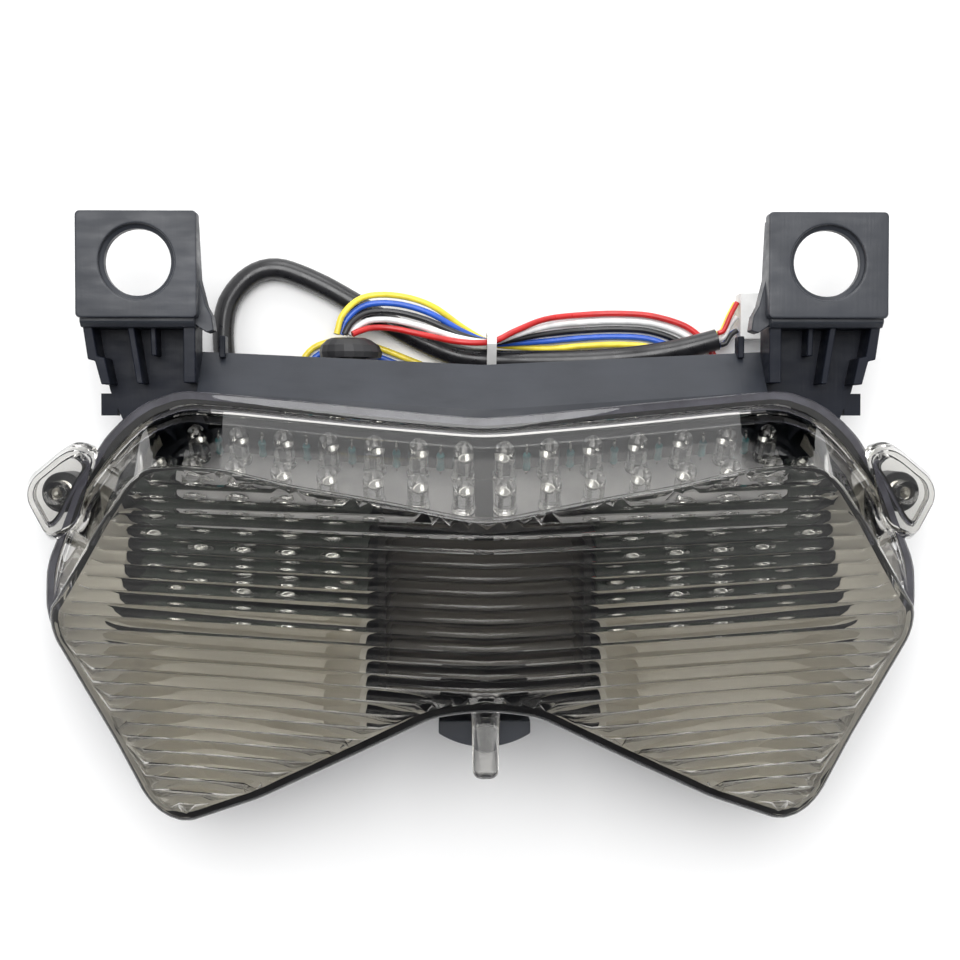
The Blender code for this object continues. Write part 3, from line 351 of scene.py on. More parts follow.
def ring_stack(bm, rings):
    loops = [[bm.verts.new(p) for p in one] for one in rings]
    bridge(bm, loops, True)
    bm.faces.new(loops[0])
    bm.faces.new(loops[-1])


def prism(bm, outline, z0, z1):
    ring_stack(bm, ([(x, y, z0) for x, y in outline], [(x, y, z1) for x, y in outline]))


def mirrored(bm, side):
    """Turns a body modelled on the +X half outwards, and moves it to the -X half for side -1."""
    outward(bm)
    if side < 0:
        for vert in bm.verts:
            vert.co.x = -vert.co.x
        bmesh.ops.reverse_faces(bm, faces=bm.faces)


def rod(bm, a, b, radius, sides=10):
    length = (Vector(b) - Vector(a)).length
    lathe(bm, a, Vector(b) - Vector(a), ((0.0, radius), (length, radius)), sides)


# ---- materials -----------------------------------------------------------
def shader_of(made):
    return made.node_tree.nodes["Principled BSDF"]


def link(made, source, socket):
    made.node_tree.links.new(source, socket)


def add_node(made, kind, **settings):
    """A new node with its inputs set. An underscore stands for the space in an input's name."""
    node = made.node_tree.nodes.new(kind)
    for name, value in settings.items():
        node.inputs[name.replace("_", " ")].default_value = value
    return node


def surface(name, color, rough=0.4, metallic=0.0, ior=1.5, transmission=0.0, coat=0.0):
    made = bpy.data.materials.new(name)
    made.use_nodes = True
    sockets = shader_of(made).inputs
    sockets["Base Color"].default_value = color + (1.0,)
    sockets["Roughness"].default_value = rough
    sockets["Metallic"].default_value = metallic
    sockets["IOR"].default_value = ior
    sockets["Transmission Weight"].default_value = transmission
    sockets["Coat Weight"].default_value = coat
    return made


def texture(made, scale, detail=4.0, stretch=(1.0, 1.0, 1.0)):
    """Noise over the object's own space."""
    place = add_node(made, "ShaderNodeTexCoord")
    spread = add_node(made, "ShaderNodeMapping", Scale=stretch)
    noise = add_node(made, "ShaderNodeTexNoise", Scale=scale, Detail=detail)
    link(made, place.outputs["Object"], spread.inputs["Vector"])
    link(made, spread.outputs["Vector"], noise.inputs["Vector"])
    return noise.outputs["Fac"]


def ramp(made, source, low, high):
    """Colour that runs from one stop to another. A stop is a place and a colour."""
    node = add_node(made, "ShaderNodeValToRGB")
    for element, (place, color) in zip(node.color_ramp.elements, (low, high)):
        element.position = place
        element.color = color + (1.0,)
    link(made, source, node.inputs["Fac"])
    return node.outputs["Color"]


def scaled_sum(made, first, share, second):
    """first times share, plus second."""
    node = add_node(made, "ShaderNodeMath")
    node.operation = "MULTIPLY_ADD"
    node.inputs[1].default_value = share
    link(made, first, node.inputs[0])
    link(made, second, node.inputs[2])
    return node.outputs[0]


def bumped(made, height, strength, distance):
    bump = add_node(made, "ShaderNodeBump", Strength=strength, Distance=distance)
    link(made, height, bump.inputs["Height"])
    link(made, bump.outputs["Normal"], shader_of(made).inputs["Normal"])


def grain(made, scale, strength, distance=0.00004, detail=4.0):
    bumped(made, texture(made, scale, detail), strength, distance)


def mottle(made, dark, light, scale, low=0.35, high=0.65):
    shade = ramp(made, texture(made, scale, 5.0), (low, dark), (high, light))
    link(made, shade, shader_of(made).inputs["Base Color"])


def rough_spots(made, low, high, scale, stretch=(1.0, 1.0, 1.0)):
    span = add_node(made, "ShaderNodeMapRange", From_Min=0.3, From_Max=0.7, To_Min=low, To_Max=high)
    link(made, texture(made, scale, 6.0, stretch), span.inputs["Value"])
    link(made, span.outputs["Result"], shader_of(made).inputs["Roughness"])


def moulded_black(name, dark, light, gloss):
    """Moulded ABS with a fine grain and faint scratches of many directions."""
    made = surface(name, light, 0.36)
    shader_of(made).inputs["Specular IOR Level"].default_value = gloss
    mottle(made, dark, light, 60.0, 0.3, 0.75)
    rough_spots(made, 0.3, 0.52, 110.0, (1.0, 3.0, 1.0))
    scratches = texture(made, 60.0, 8.0, (22.0, 1.2, 1.0))
    grit = texture(made, 2400.0, 3.0)
    crossing = texture(made, 45.0, 8.0, (2.0, 14.0, 1.0))
    height = scaled_sum(made, scaled_sum(made, grit, 0.25, scratches), 1.0, crossing)
    bumped(made, height, 0.35, 0.00008)
    return made


def smoked_acrylic():
    made = surface("smoked_lens", (0.66, 0.65, 0.62), 0.02, ior=1.49, transmission=1.0)
    mottle(made, (0.64, 0.63, 0.61), (0.69, 0.68, 0.65), 22.0)
    grain(made, 90.0, 0.06, 0.00005, 2.0)
    return made


def clear_epoxy():
    made = surface("clear_led", (0.93, 0.94, 0.95), 0.03, ior=1.53, transmission=1.0)
    mottle(made, (0.88, 0.89, 0.91), (0.97, 0.98, 0.98), 180.0)
    return made


def insulation(name, color, rough=0.32):
    made = surface(name, color, rough, ior=1.5, coat=0.15)
    darker = tuple(c * 0.82 for c in color)
    lighter = tuple(min(1.0, c * 1.12 + 0.004) for c in color)
    mottle(made, darker, lighter, 260.0)
    rough_spots(made, rough - 0.08, rough + 0.12, 320.0)
    grain(made, 900.0, 0.12, 0.00003)
    return made


def silvered():
    made = surface("reflector_silver", (0.74, 0.71, 0.63), 0.5, metallic=0.35)
    mottle(made, (0.70, 0.67, 0.59), (0.80, 0.77, 0.69), 45.0)
    rough_spots(made, 0.42, 0.6, 70.0)
    grain(made, 400.0, 0.1, 0.00005)
    return made


def board_paint(name, dark, light):
    made = surface(name, light, 0.42)
    mottle(made, dark, light, 90.0, 0.4, 0.6)
    grain(made, 700.0, 0.15, 0.00004)
    return made


def plated_steel():
    made = surface("screw_steel", (0.56, 0.55, 0.52), 0.3, metallic=1.0)
    rough_spots(made, 0.2, 0.45, 400.0)
    grain(made, 900.0, 0.15, 0.00003)
    return made


def tinned_lead():
    made = surface("tinned_lead", (0.72, 0.72, 0.70), 0.22, metallic=1.0)
    rough_spots(made, 0.15, 0.35, 500.0)
    return made


def resistor_enamel():
    made = surface("resistor_teal", (0.03, 0.24, 0.26), 0.3, coat=0.4)
    mottle(made, (0.02, 0.17, 0.19), (0.05, 0.30, 0.32), 300.0)
    return made


def soft_plastic(name, rough, dark, light, scale, grain_scale, strength, distance=0.00004):
    """Rubber, sealant or nylon: an uneven colour under a fine grain."""
    made = surface(name, light, rough)
    mottle(made, dark, light, scale)
    grain(made, grain_scale, strength, distance)
    return made


def chamber_paint():
    """Brownish floor and nearly black upper walls, with a soft uneven line between them."""
    made = surface("chamber_grey", (0.12, 0.105, 0.09), 0.45)
    noise = texture(made, 40.0, 3.0)
    split = add_node(made, "ShaderNodeSeparateXYZ")
    link(made, made.node_tree.nodes["Texture Coordinate"].outputs["Object"], split.inputs[0])
    height = scaled_sum(made, noise, 0.006, split.outputs["Z"])
    layers = ramp(made, height, (0.030, (0.15, 0.135, 0.115)), (0.044, (0.008, 0.007, 0.007)))
    link(made, layers, shader_of(made).inputs["Base Color"])
    grain(made, 1500.0, 0.2)
    return made


BLACK = moulded_black("black_abs", (0.020, 0.023, 0.030), (0.032, 0.036, 0.046), 0.4)
# A darker, less glossy copy of the black ABS for the tab necks: its darkness is painted shade of their deep
# recess.
NECK_PAINTED_SHADE_BLACK = moulded_black("black_abs_neck_painted_shade", (0.006, 0.008, 0.014), (0.011, 0.013, 0.021), 0.14)
SMOKE = smoked_acrylic()
EPOXY = clear_epoxy()
SILVER = silvered()
STEEL = plated_steel()
CHAMBER = chamber_paint()
WHITE_BOARD = board_paint("white_board", (0.60, 0.60, 0.62), (0.74, 0.74, 0.76))
GREEN_BOARD = board_paint("green_board", (0.007, 0.018, 0.011), (0.014, 0.032, 0.02))
TEAL = resistor_enamel()
LEAD_METAL = tinned_lead()
# Grey sealant under the lens flange. Its light lavender colour is partly the glue's own grey and partly a
# painted reflection of the glossy flange.
SEALANT_AND_PAINTED_SHEEN = soft_plastic("sealant_grey_and_painted_sheen", 0.4, (0.09, 0.09, 0.12), (0.18, 0.18, 0.23), 130.0, 600.0, 0.3, 0.0001)
SEAL_BLACK = soft_plastic(
    "seal_rubber", 0.5, (0.005, 0.005, 0.006), (0.014, 0.014, 0.016), 120.0, 500.0, 0.3, 0.0001
)
RUBBER = soft_plastic("grommet_rubber", 0.45, (0.008, 0.008, 0.01), (0.02, 0.02, 0.022), 150.0, 800.0, 0.3)
NYLON = soft_plastic("tie_white", 0.4, (0.72, 0.72, 0.71), (0.86, 0.86, 0.85), 200.0, 900.0, 0.15)
SLEEVE = insulation("sleeve_black", (0.012, 0.012, 0.014), 0.3)
WIRE_LOOKS = {
    "yellow": insulation("wire_yellow", (0.85, 0.68, 0.05)),
    "blue": insulation("wire_blue", (0.02, 0.10, 0.52)),
    "black": insulation("wire_black", (0.012, 0.012, 0.014)),
    "white": insulation("wire_white", (0.82, 0.82, 0.82)),
    "red": insulation("wire_red", (0.55, 0.015, 0.015)),
}

# ---- camera, floor and lights --------------------------------------------
CAMERA_HEIGHT = 440.0
CAMERA_SENSOR = 36.0
CAMERA_LENS = 63.375
FLOOR_SIZE = 30000.0
camera_data = bpy.data.cameras.new("camera")
camera_data.sensor_width = CAMERA_SENSOR
camera_data.lens = CAMERA_LENS
camera_data.clip_start = 0.01
camera = bpy.data.objects.new("camera", camera_data)
bpy.context.scene.collection.objects.link(camera)
camera.location = metres(-9.0, 21.4, CAMERA_HEIGHT)
camera.rotation_euler = (math.radians(-1.8), math.radians(-1.15), 0.0)
bpy.context.scene.camera = camera

floor_paint = surface("floor_paint", (0.93, 0.93, 0.93), 0.7)
bm = bmesh.new()
bmesh.ops.create_grid(bm, x_segments=2, y_segments=2, size=FLOOR_SIZE)
for vert in bm.verts:
    vert.co.z = -0.05
floor = plain_object("floor", bm)
floor.data.materials.append(floor_paint)

# White all round, with a dark patch above that keeps the flat faces from glaring.
world = bpy.data.worlds.new("studio")
world.use_nodes = True
sky = world.node_tree.nodes["Background"]
sky.inputs["Strength"].default_value = 0.95
where = add_node(world, "ShaderNodeTexCoord")
facing = add_node(world, "ShaderNodeVectorMath")
facing.operation = "DOT_PRODUCT"
facing.inputs[1].default_value = (0.0, -0.6, 0.8)
link(world, where.outputs["Generated"], facing.inputs[0])
dome = ramp(world, facing.outputs["Value"], (0.72, (1.0, 1.0, 1.0)), (0.85, (0.10, 0.10, 0.11)))
link(world, dome, sky.inputs["Color"])
bpy.context.scene.world = world
bpy.context.scene.view_settings.view_transform = "Standard"


def soft_light(name, place, target, size, power):
    data = bpy.data.lights.new(name, "AREA")
    data.shape = "DISK"
    data.size = size
    data.energy = power
    lamp = bpy.data.objects.new(name, data)
    lamp.location = place
    aim = Vector(target) - Vector(place)
    lamp.rotation_euler = aim.to_track_quat("-Z", "Y").to_euler()
    bpy.context.scene.collection.objects.link(lamp)


soft_light("above", (-0.05, 0.35, 1.25), (0.0, 0.0, 0.0), 0.9, 12.0)
soft_light("back", (0.1, 1.2, 0.55), (0.0, 0.0, 0.03), 0.8, 5.0)


# ---- harness -------------------------------------------------------------
def smooth_route(points, spacing):
    """Evenly spaced points on a smooth curve through the given ones, and its length."""
    pts = [Vector(p) for p in points]
    pts = [pts[0] * 2.0 - pts[1]] + pts + [pts[-1] * 2.0 - pts[-2]]
    fine = []
    for i in range(1, len(pts) - 2):
        p0, p1, p2, p3 = pts[i - 1], pts[i], pts[i + 1], pts[i + 2]
        for k in range(16):
            t = k / 16.0
            spot = (
                p1 * 2.0
                + (p2 - p0) * t
                + (p0 * 2.0 - p1 * 5.0 + p2 * 4.0 - p3) * t * t
                + (p1 * 3.0 - p0 - p2 * 3.0 + p3) * t * t * t
            ) * 0.5
            fine.append(spot)
    fine.append(pts[-2])
    lengths = [0.0]
    for a, b in zip(fine, fine[1:]):
        lengths.append(lengths[-1] + (b - a).length)
    count = max(2, int(round(lengths[-1] / spacing)) + 1)
    made = []
    k = 0
    for i in range(count):
        want = lengths[-1] * i / (count - 1)
        while k < len(fine) - 2 and lengths[k + 1] < want:
            k += 1
        span = max(1e-9, lengths[k + 1] - lengths[k])
        made.append(fine[k].lerp(fine[k + 1], (want - lengths[k]) / span))
    return made, lengths[-1]


def tube(name, points, diameter, look, resolution=4):
    data = bpy.data.curves.new(name, "CURVE")
    data.dimensions = "3D"
    spline = data.splines.new("POLY")
    spline.points.add(len(points) - 1)
    for point, spot in zip(spline.points, points):
        x, y, z = metres(*spot)
        point.co = (x, y, z, 1.0)
    data.bevel_depth = diameter * 0.5 * MM
    data.bevel_resolution = resolution
    data.use_fill_caps = True
    obj = bpy.data.objects.new(name, data)
    bpy.context.scene.collection.objects.link(obj)
    data.materials.append(look)
    spline.use_smooth = True
    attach(obj, "root")
    return obj


# Middle of the row of five wires: x, y, z, turn of the row in degrees, pitch and stagger of the row.
ROW_ROUTE = (
    (-34.6, 44.8, 11.0, 0.0, 1.0, 0.9), (-32.9, 47.8, 10.4, 0.0, 1.5, 0.7),
    (-28.8, 50.4, 9.4, 0.0, 2.0, 0.2), (-22.0, 50.6, 8.7, 0.0, 2.1, 0.0),
    (-14.0, 48.6, 8.6, 12.0, 2.0, 0.0), (-5.0, 44.8, 8.4, 60.0, 2.0, 0.0),
    (2.6, 43.0, 6.9, 90.0, 1.95, 0.0), (9.0, 44.0, 5.2, 118.0, 2.0, 0.0),
    (17.0, 45.4, 2.7, 158.0, 2.0, 0.0), (26.0, 46.4, 1.25, 180.0, 2.0, 0.0),
    (36.0, 46.8, 0.95, 180.0, 2.0, 0.0), (45.0, 46.0, 0.9, 180.0, 2.0, 0.0),
    (53.0, 42.6, 0.9, 180.0, 2.15, 0.0), (57.0, 36.8, 0.9, 180.0, 2.2, 0.0),
    (54.0, 30.4, 0.9, 180.0, 2.15, 0.0), (47.0, 27.6, 0.9, 180.0, 2.0, 0.0),
    (30.0, 27.4, 0.9, 180.0, 2.0, 0.0), (10.0, 26.8, 0.9, 180.0, 2.0, 0.0),
    (-6.0, 26.4, 0.9, 180.0, 2.0, 0.0), (-24.0, 26.4, 0.9, 180.0, 2.0, 0.0),
    (-40.0, 26.8, 1.1, 180.0, 2.0, 0.0), (-47.0, 27.1, 1.5, 180.0, 1.6, -0.62),
    (-53.2, 27.4, 2.75, 180.0, 1.05, -0.85),
)
# The yellow and blue wires leave the row under the plate and swing out past its edge.
SWING = (
    (10.0, 29.8), (-2.0, 31.2), (-10.0, 34.2), (-19.0, 37.8), (-28.0, 41.2), (-36.0, 42.7),
    (-42.6, 41.0), (-45.8, 36.8), (-47.2, 32.8),
)
SWING_FROM = 17
SWING_TO = 22
SWING_ENDS = ((-1.0, 0.2), (-0.3, -1.0))
WIRES = ("yellow", "blue", "black", "white", "red")
WIRE_D = 1.6
LYING_Z = 0.95
LEAD_D = 1.3
SLEEVE_D = 5.5
SLEEVE_ROUTE = (
    (-54.4, 27.4, 2.8), (-58.6, 28.2, 2.8), (-62.8, 31.0, 2.8), (-65.4, 36.0, 2.8), (-66.2, 42.0, 2.8),
    (-66.2, 48.0, 2.8), (-64.9, 53.5, 2.8), (-61.4, 58.4, 2.8), (-56.9, 61.4, 2.8), (-52.0, 62.0, 2.8),
    (-46.6, 60.4, 2.8), (-39.6, 57.2, 2.8), (-32.2, 53.0, 2.8), (-24.0, 48.2, 2.8), (-15.0, 43.4, 2.8),
    (-6.0, 39.8, 3.2), (2.6, 38.6, 4.1), (12.0, 38.4, 3.2), (25.0, 38.6, 2.8), (36.0, 39.2, 3.4),
    (45.0, 40.2, 5.0), (53.0, 41.8, 5.0), (60.8, 43.9, 4.8),
)
# Plug leads: colour, place across and above the sleeve's middle, place on the plug.
LEADS = (
    ("red", 1.5, 1.5, 53.4, 5.4),
    ("yellow", 1.5, -1.3, 53.4, 2.4),
    ("white", 0.0, 0.3, 49.8, 4.4),
    ("black", -1.5, 1.4, 46.2, 5.4),
    ("blue", -1.5, -1.1, 46.2, 2.4),
)


def offset_spot(points, index, across, ends):
    """A route point moved sideways. ends holds the headings of the route's two ends."""
    before = Vector(points[max(0, index - 1)][:2])
    after = Vector(points[min(len(points) - 1, index + 1)][:2])
    heading = (after - before).normalized()
    if index == 0:
        heading = Vector(ends[0])
    if index == len(points) - 1:
        heading = Vector(ends[1])
    here = points[index]
    return here[0] - heading.y * across, here[1] + heading.x * across


def row_spot(index, number):
    here = ROW_ROUTE[index]
    offset = here[4] * (2.0 - number)
    turn = math.radians(here[3])
    stagger = here[5] if number % 2 == 0 else -here[5]
    x, y = offset_spot(ROW_ROUTE, index, offset * math.cos(turn), ((0.0, 1.0), (-1.0, 0.0)))
    return x, y, here[2] - offset * math.sin(turn) + stagger


for number, color in enumerate(WIRES):
    route = [row_spot(i, number) for i in range(len(ROW_ROUTE))]
    if color in ("yellow", "blue"):
        across = -1.1 if color == "yellow" else 1.1
        swing = [offset_spot(SWING, i, across, SWING_ENDS) for i in range(len(SWING))]
        route = route[:SWING_FROM] + [(x, y, LYING_Z) for x, y in swing] + route[SWING_TO:]
    points, length = smooth_route(route, 1.5)
    wire = tube("wire_" + color + "_soft", points, WIRE_D, WIRE_LOOKS[color])
    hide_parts("wire_" + color)

sleeve_points, sleeve_length = smooth_route(SLEEVE_ROUTE, 1.8)
sleeve = tube("cable_sleeve_soft", sleeve_points, SLEEVE_D, SLEEVE, 8)
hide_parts("cable_sleeve")

for color, across, up, end_y, end_z in LEADS:
    route = (
        (61.2 - 0.26 * across, 43.95 + across, 4.8 + up),
        (62.6 - 0.2 * across, 44.5 + across * 1.1, 4.7 + up),
        (64.2, 0.45 * (44.9 + across) + 0.55 * end_y, 0.5 * (4.8 + up) + 0.5 * end_z),
        (65.9, end_y, end_z),
    )
    points, _ = smooth_route(route, 0.6)
    lead = tube("plug_lead_" + color + "_soft", points, LEAD_D, WIRE_LOOKS[color])
    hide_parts("plug_lead_" + color)

# ---- lens ----------------------------------------------------------------
def flute_depth(x, y, distance):
    """Thickness of the lens at a point of the fluted face, fading to plain at its edge."""
    turn = (y - FLUTE_PHASE - FLUTE_SLANT * abs(x)) / FLUTE_PITCH
    part = turn - math.floor(turn)
    bulge = 1.0 - abs(2.0 * part - 1.0) ** 2.6
    fade = min(1.0, max(0.0, distance / 0.7))
    return LENS_FLOOR + FLUTE_SAG * bulge * fade


def edge_distance(x, y, edges):
    best = 1.0e9
    for ax, ay, bx, by in edges:
        dx = bx - ax
        dy = by - ay
        t = max(0.0, min(1.0, ((x - ax) * dx + (y - ay) * dy) / (dx * dx + dy * dy)))
        best = min(best, (x - ax - dx * t) ** 2 + (y - ay - dy * t) ** 2)
    return math.sqrt(best)


def inside(x, y, outline):
    odd = False
    for (ax, ay), (bx, by) in zip(outline, outline[1:] + outline[:1]):
        if (ay > y) != (by > y) and x < ax + (y - ay) / (by - ay) * (bx - ax):
            odd = not odd
    return odd


def filled(bm, loop, rows, column_step, height):
    """Fills a half outline with a grid of small triangles that follows a height."""
    outline = [(v.co.x, v.co.y) for v in loop]
    edges = []
    for (ax, ay), (bx, by) in zip(outline, outline[1:]):
        if math.hypot(bx - ax, by - ay) > 1.0e-6:
            edges.append((ax, ay, bx, by))
    coords = [Vector(p) for p in outline]
    gaps = [None] * len(outline)
    for base in rows:
        x = 0.0
        while x < LENS_REACH:
            y = base + FLUTE_SLANT * x
            if x == 0.0 and outline[-1][1] + 0.2 < y < outline[0][1] - 0.2:
                coords.append(Vector((0.0, y)))
                gaps.append(edge_distance(0.0, y, edges))
            elif x > 0.0 and inside(x, y, outline):
                gap = edge_distance(x, y, edges)
                if gap > 0.25:
                    coords.append(Vector((x, y)))
                    gaps.append(gap)
            x += column_step
    count = len(outline)
    ring_edges = [(i, i + 1) for i in range(count - 1)] + [(count - 1, 0)]
    made = delaunay_2d_cdt(coords, ring_edges, [list(range(count))], 1, 1.0e-5)
    verts = []
    for spot, origins in zip(made[0], made[3]):
        kept = [i for i in origins if i < count]
        if kept:
            verts.append(loop[kept[0]])
        else:
            gap = gaps[origins[0]] if origins else 1.0
            verts.append(bm.verts.new((spot.x, spot.y, height(spot.x, spot.y, gap))))
    for face in made[2]:
        corners = [verts[i] for i in face]
        if len(set(corners)) == len(corners):
            bm.faces.new(corners)


def lens_body():
    bm = bmesh.new()
    rings = [
        ring(inner_corner(), below_face(2.2)),
        ring(raised_foot(2.4), above_flange(FOOT_RISE)),
        ring(inset(FOOT, 2.2), above_flange(0.0)),
        ring(inset(FLANGE, 0.3), above_flange(0.0)),
        ring(FLANGE, above_flange(0.3)),
        ring(FLANGE, above_flange(FLANGE_LIP - 0.5)),
        ring(inset(FLANGE, 0.15), above_flange(FLANGE_LIP - 0.15)),
        ring(inset(FLANGE, 0.5), above_flange(FLANGE_LIP)),
        ring(inset(FOOT, 0.0), above_flange(FLANGE_LIP + 0.2)),
        ring(raised_foot(0.0), above_flange(FOOT_RISE)),
    ]
    for step in range(7):
        angle = math.radians(90.0 * step / 6.0)
        rounding = inset(FACE, 1.3 * (1.0 - math.cos(angle)))
        rings.append(ring(rounding, below_face(1.8 * (1.0 - math.sin(angle)))))
    loops = [[bm.verts.new(p) for p in one] for one in rings]
    bridge(bm, loops, False)
    outer_rows = [-74.0 + 3.0 * i for i in range(32)]
    filled(bm, loops[-1], outer_rows, 4.0, lambda x, y, gap: face_z(x, y))
    fine = FLUTE_PITCH / FLUTE_STEPS
    first = math.floor((-75.0 - FLUTE_PHASE) / FLUTE_PITCH) * FLUTE_PITCH + FLUTE_PHASE
    inner_rows = [first + fine * i for i in range(int(92.0 / fine))]
    filled(bm, loops[0], inner_rows, 4.0, lambda x, y, gap: face_z(x, y) - flute_depth(x, y, gap))
    outward(bm)
    both_halves(bm)
    outward(bm)
    return bm


def combine(obj, bm, operation):
    """Joins a helper body to a piece, or cuts it out, and drops the helper."""
    helper = plain_object("helper", bm)
    step = obj.modifiers.new("step", "BOOLEAN")
    step.operation = operation
    step.solver = "EXACT"
    step.object = helper
    bpy.context.view_layer.update()
    graph = bpy.context.evaluated_depsgraph_get()
    made = bpy.data.meshes.new_from_object(obj.evaluated_get(graph))
    obj.modifiers.clear()
    obj.data = made
    bpy.data.objects.remove(helper, do_unlink=True)


# Outlines of an ear: at the flange, near its top, and of the pocket under it.
EAR = ((92.5, 16.0), (97.5, 18.2), (101.5, 16.2), (110.4, 9.2), (111.4, 4.0), (105.2, -7.0), (99.0, -3.0))
EAR_TOP = ((93.0, 14.6), (97.6, 16.4), (101.0, 15.0), (108.6, 8.6), (109.6, 4.2), (104.6, -5.2), (97.5, -2.0))
EAR_POCKET = (
    (94.6, 13.0), (97.4, 15.8), (100.8, 14.2), (108.2, 8.2), (109.2, 4.6), (104.9, -3.6), (102.6, -1.4),
    (97.6, 8.2),
)
EAR_MIDDLE = (102.0, 6.5)


def reshade(obj, look, smooth):
    """Shading and material of a piece whose mesh a boolean has rebuilt."""
    obj.data.shade_smooth()
    obj.data.set_sharp_from_angle(angle=math.radians(smooth))
    repaint(obj, look)


def soft_outline(points, cut):
    """A closed outline with its corners cut in two rounds."""
    pts = [Vector(p) for p in points]
    for turn in range(2):
        made = []
        for i, here in enumerate(pts):
            before = pts[i - 1]
            after = pts[(i + 1) % len(pts)]
            share_a = min(0.3, cut / max(0.01, (before - here).length))
            share_b = min(0.3, cut / max(0.01, (after - here).length))
            made.append(here.lerp(before, share_a))
            made.append(here.lerp(after, share_b))
        pts = made
        cut *= 0.45
    return [(p.x, p.y) for p in pts]


def shrunk(points, share, z):
    """An ear outline drawn in towards its middle, at height z."""
    cx, cy = EAR_MIDDLE
    return [(cx + (x - cx) * share, cy + (y - cy) * share, z) for x, y in points]


def ear_body(top):
    bm = bmesh.new()
    foot = soft_outline(EAR, 1.2)
    crown = soft_outline(EAR_TOP, 1.2)
    rings = [[(x, y, flange_z(x, y) + rise) for x, y in foot] for rise in (0.0, FLANGE_LIP)]
    rings += [shrunk(crown, share, top - drop) for share, drop in ((1.004, 0.8), (0.985, 0.25), (0.95, 0.0))]
    ring_stack(bm, rings)
    return bm


def ear_pocket(top):
    bm = bmesh.new()
    outline = soft_outline(EAR_POCKET, 0.9)
    rings = [[(x, y, EAR_Z + rise) for x, y in outline] for rise in (-2.0, 3.4)]
    rings += [shrunk(outline, share, top - drop) for share, drop in ((0.88, 2.4), (0.83, 1.8))]
    ring_stack(bm, rings)
    return bm


lens = add_object("lens_cover_moulding", lens_body(), SMOKE, 180.0)
for side in (-1, 1):
    for body, operation in ((ear_body, "UNION"), (ear_pocket, "DIFFERENCE")):
        bm = body(EAR_Z + EAR_RISE)
        mirrored(bm, side)
        combine(lens, bm, operation)
    bm = bmesh.new()
    sx, sy = side * EAR_SCREW[0], EAR_SCREW[1]
    lathe(bm, (sx, sy, EAR_Z + 0.1), TOWARD_Z, ((0.0, 3.1), (EAR_RISE - 1.0, 2.7)), 32)
    outward(bm)
    combine(lens, bm, "UNION")
    bm = bmesh.new()
    rod(bm, (sx, sy, EAR_Z - 1.0), (sx, sy, EAR_Z + 6.0), 1.7, 24)
    outward(bm)
    combine(lens, bm, "DIFFERENCE")

# locating pin in the notch, with a rounded end
bm = bmesh.new()
pin = [(0.0, 3.9), (1.9, 3.6), (2.5, 3.4), (3.0, 3.25), (15.6, 2.95)]
for step in range(1, 6):
    angle = math.radians(90.0 * step / 6.0)
    pin.append((15.6 + 1.6 * math.sin(angle), 1.6 + 1.35 * math.cos(angle)))
pin.append((17.2, 1.6))
lathe(bm, (0.0, PIN_ROOT_Y, PIN_Z), (0.0, -1.0, 0.0), pin, 40)
outward(bm)
combine(lens, bm, "UNION")
reshade(lens, SMOKE, 22.0)
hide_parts("lens_cover")

# ---- seal ----------------------------------------------------------------
# The sealant wets the lens, so it reaches just into its foot.
SEAL_BOND = 0.1
SEALANT_SECTION = ((0.35, -1.45), (0.2, -0.7), (0.45, SEAL_BOND), (1.9, SEAL_BOND), (1.9, -1.45))
CORD_SECTION = ((2.0, -1.45), (2.0, SEAL_BOND), (4.5, SEAL_BOND), (4.7, -0.8), (4.4, -1.45))
# The sealant band's light lavender colour stands partly for a painted reflection on the flange.
body = half_shell(flange_rings(SEALANT_SECTION), ring_closed=True)
band = add_object("lens_sealant_sheen_band", body, SEALANT_AND_PAINTED_SHEEN)
body = half_shell(flange_rings(CORD_SECTION), ring_closed=True)
seal = add_object("lens_seal_cord", body, SEAL_BLACK)
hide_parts("lens_seal")

# ---- housing -------------------------------------------------------------
def cavity():
    """The hollow of the housing, which every piece that reaches into it is cut by."""
    rings = [ring(inset(BACK, 2.7), flat(2.5))] + flange_rings(((3.2, -5.0), (3.0, 4.0)))
    return half_shell(rings, cap_first=True, cap_last=True)


def housing_piece(name, bm, bevel=0.3, look=BLACK, cut=False):
    """A piece of the housing moulding, cut to the hollow where it reaches into it."""
    obj = add_object("housing_" + name, bm, look, 40.0, 0.0 if cut else bevel, not cut)
    if cut:
        combine(obj, cavity(), "DIFFERENCE")
        reshade(obj, look, 30.0)
    return obj


tub = [ring(inset(BACK, 2.8), flat(2.6))]
tub += flange_rings(((3.3, -5.0), (3.1, -SEAL_GAP), (0.5, -SEAL_GAP), (0.3, -SEAL_GAP - 0.25), (0.5, -5.0)))
tub += [ring(BACK, flat(1.5)), ring(inset(BACK, 0.45), flat(0.45)), ring(inset(BACK, 1.5), flat(0.0))]
hull = housing_piece("tub", half_shell(tub, cap_first=True, cap_last=True), 0.0)
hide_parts("rear_housing")


def top_edge(x):
    """Front and back edge of the top plate at x: y of each, then z of each."""
    return (
        25.4 + 4.5 * x / 68.4,
        36.7 + 3.3 * x / 69.5,
        flange_z(x, 24.0) - 2.0,
        22.0 - 2.0 * x / 69.0,
    )


PLATE_REACH = 69.2
bm = bmesh.new()
plate_rings = []
for i in range(25):
    x = PLATE_REACH * (i / 12.0 - 1.0)
    yf, yb, zf, zb = top_edge(abs(x))
    plate_rings.append(
        [
            (x, yf - 4.0, zf),
            (x, yf, zf),
            (x, yb - 0.6, zb + 0.5),
            (x, yb, zb),
            (x, yb, zb - 3.0),
            (x, yb - 2.5, zb - 3.0),
            (x, yf + 0.5, zf - 4.6),
            (x, yf - 4.0, zf - 4.6),
        ]
    )
ring_stack(bm, plate_rings)
outward(bm)
housing_piece("top_plate", bm, cut=True)


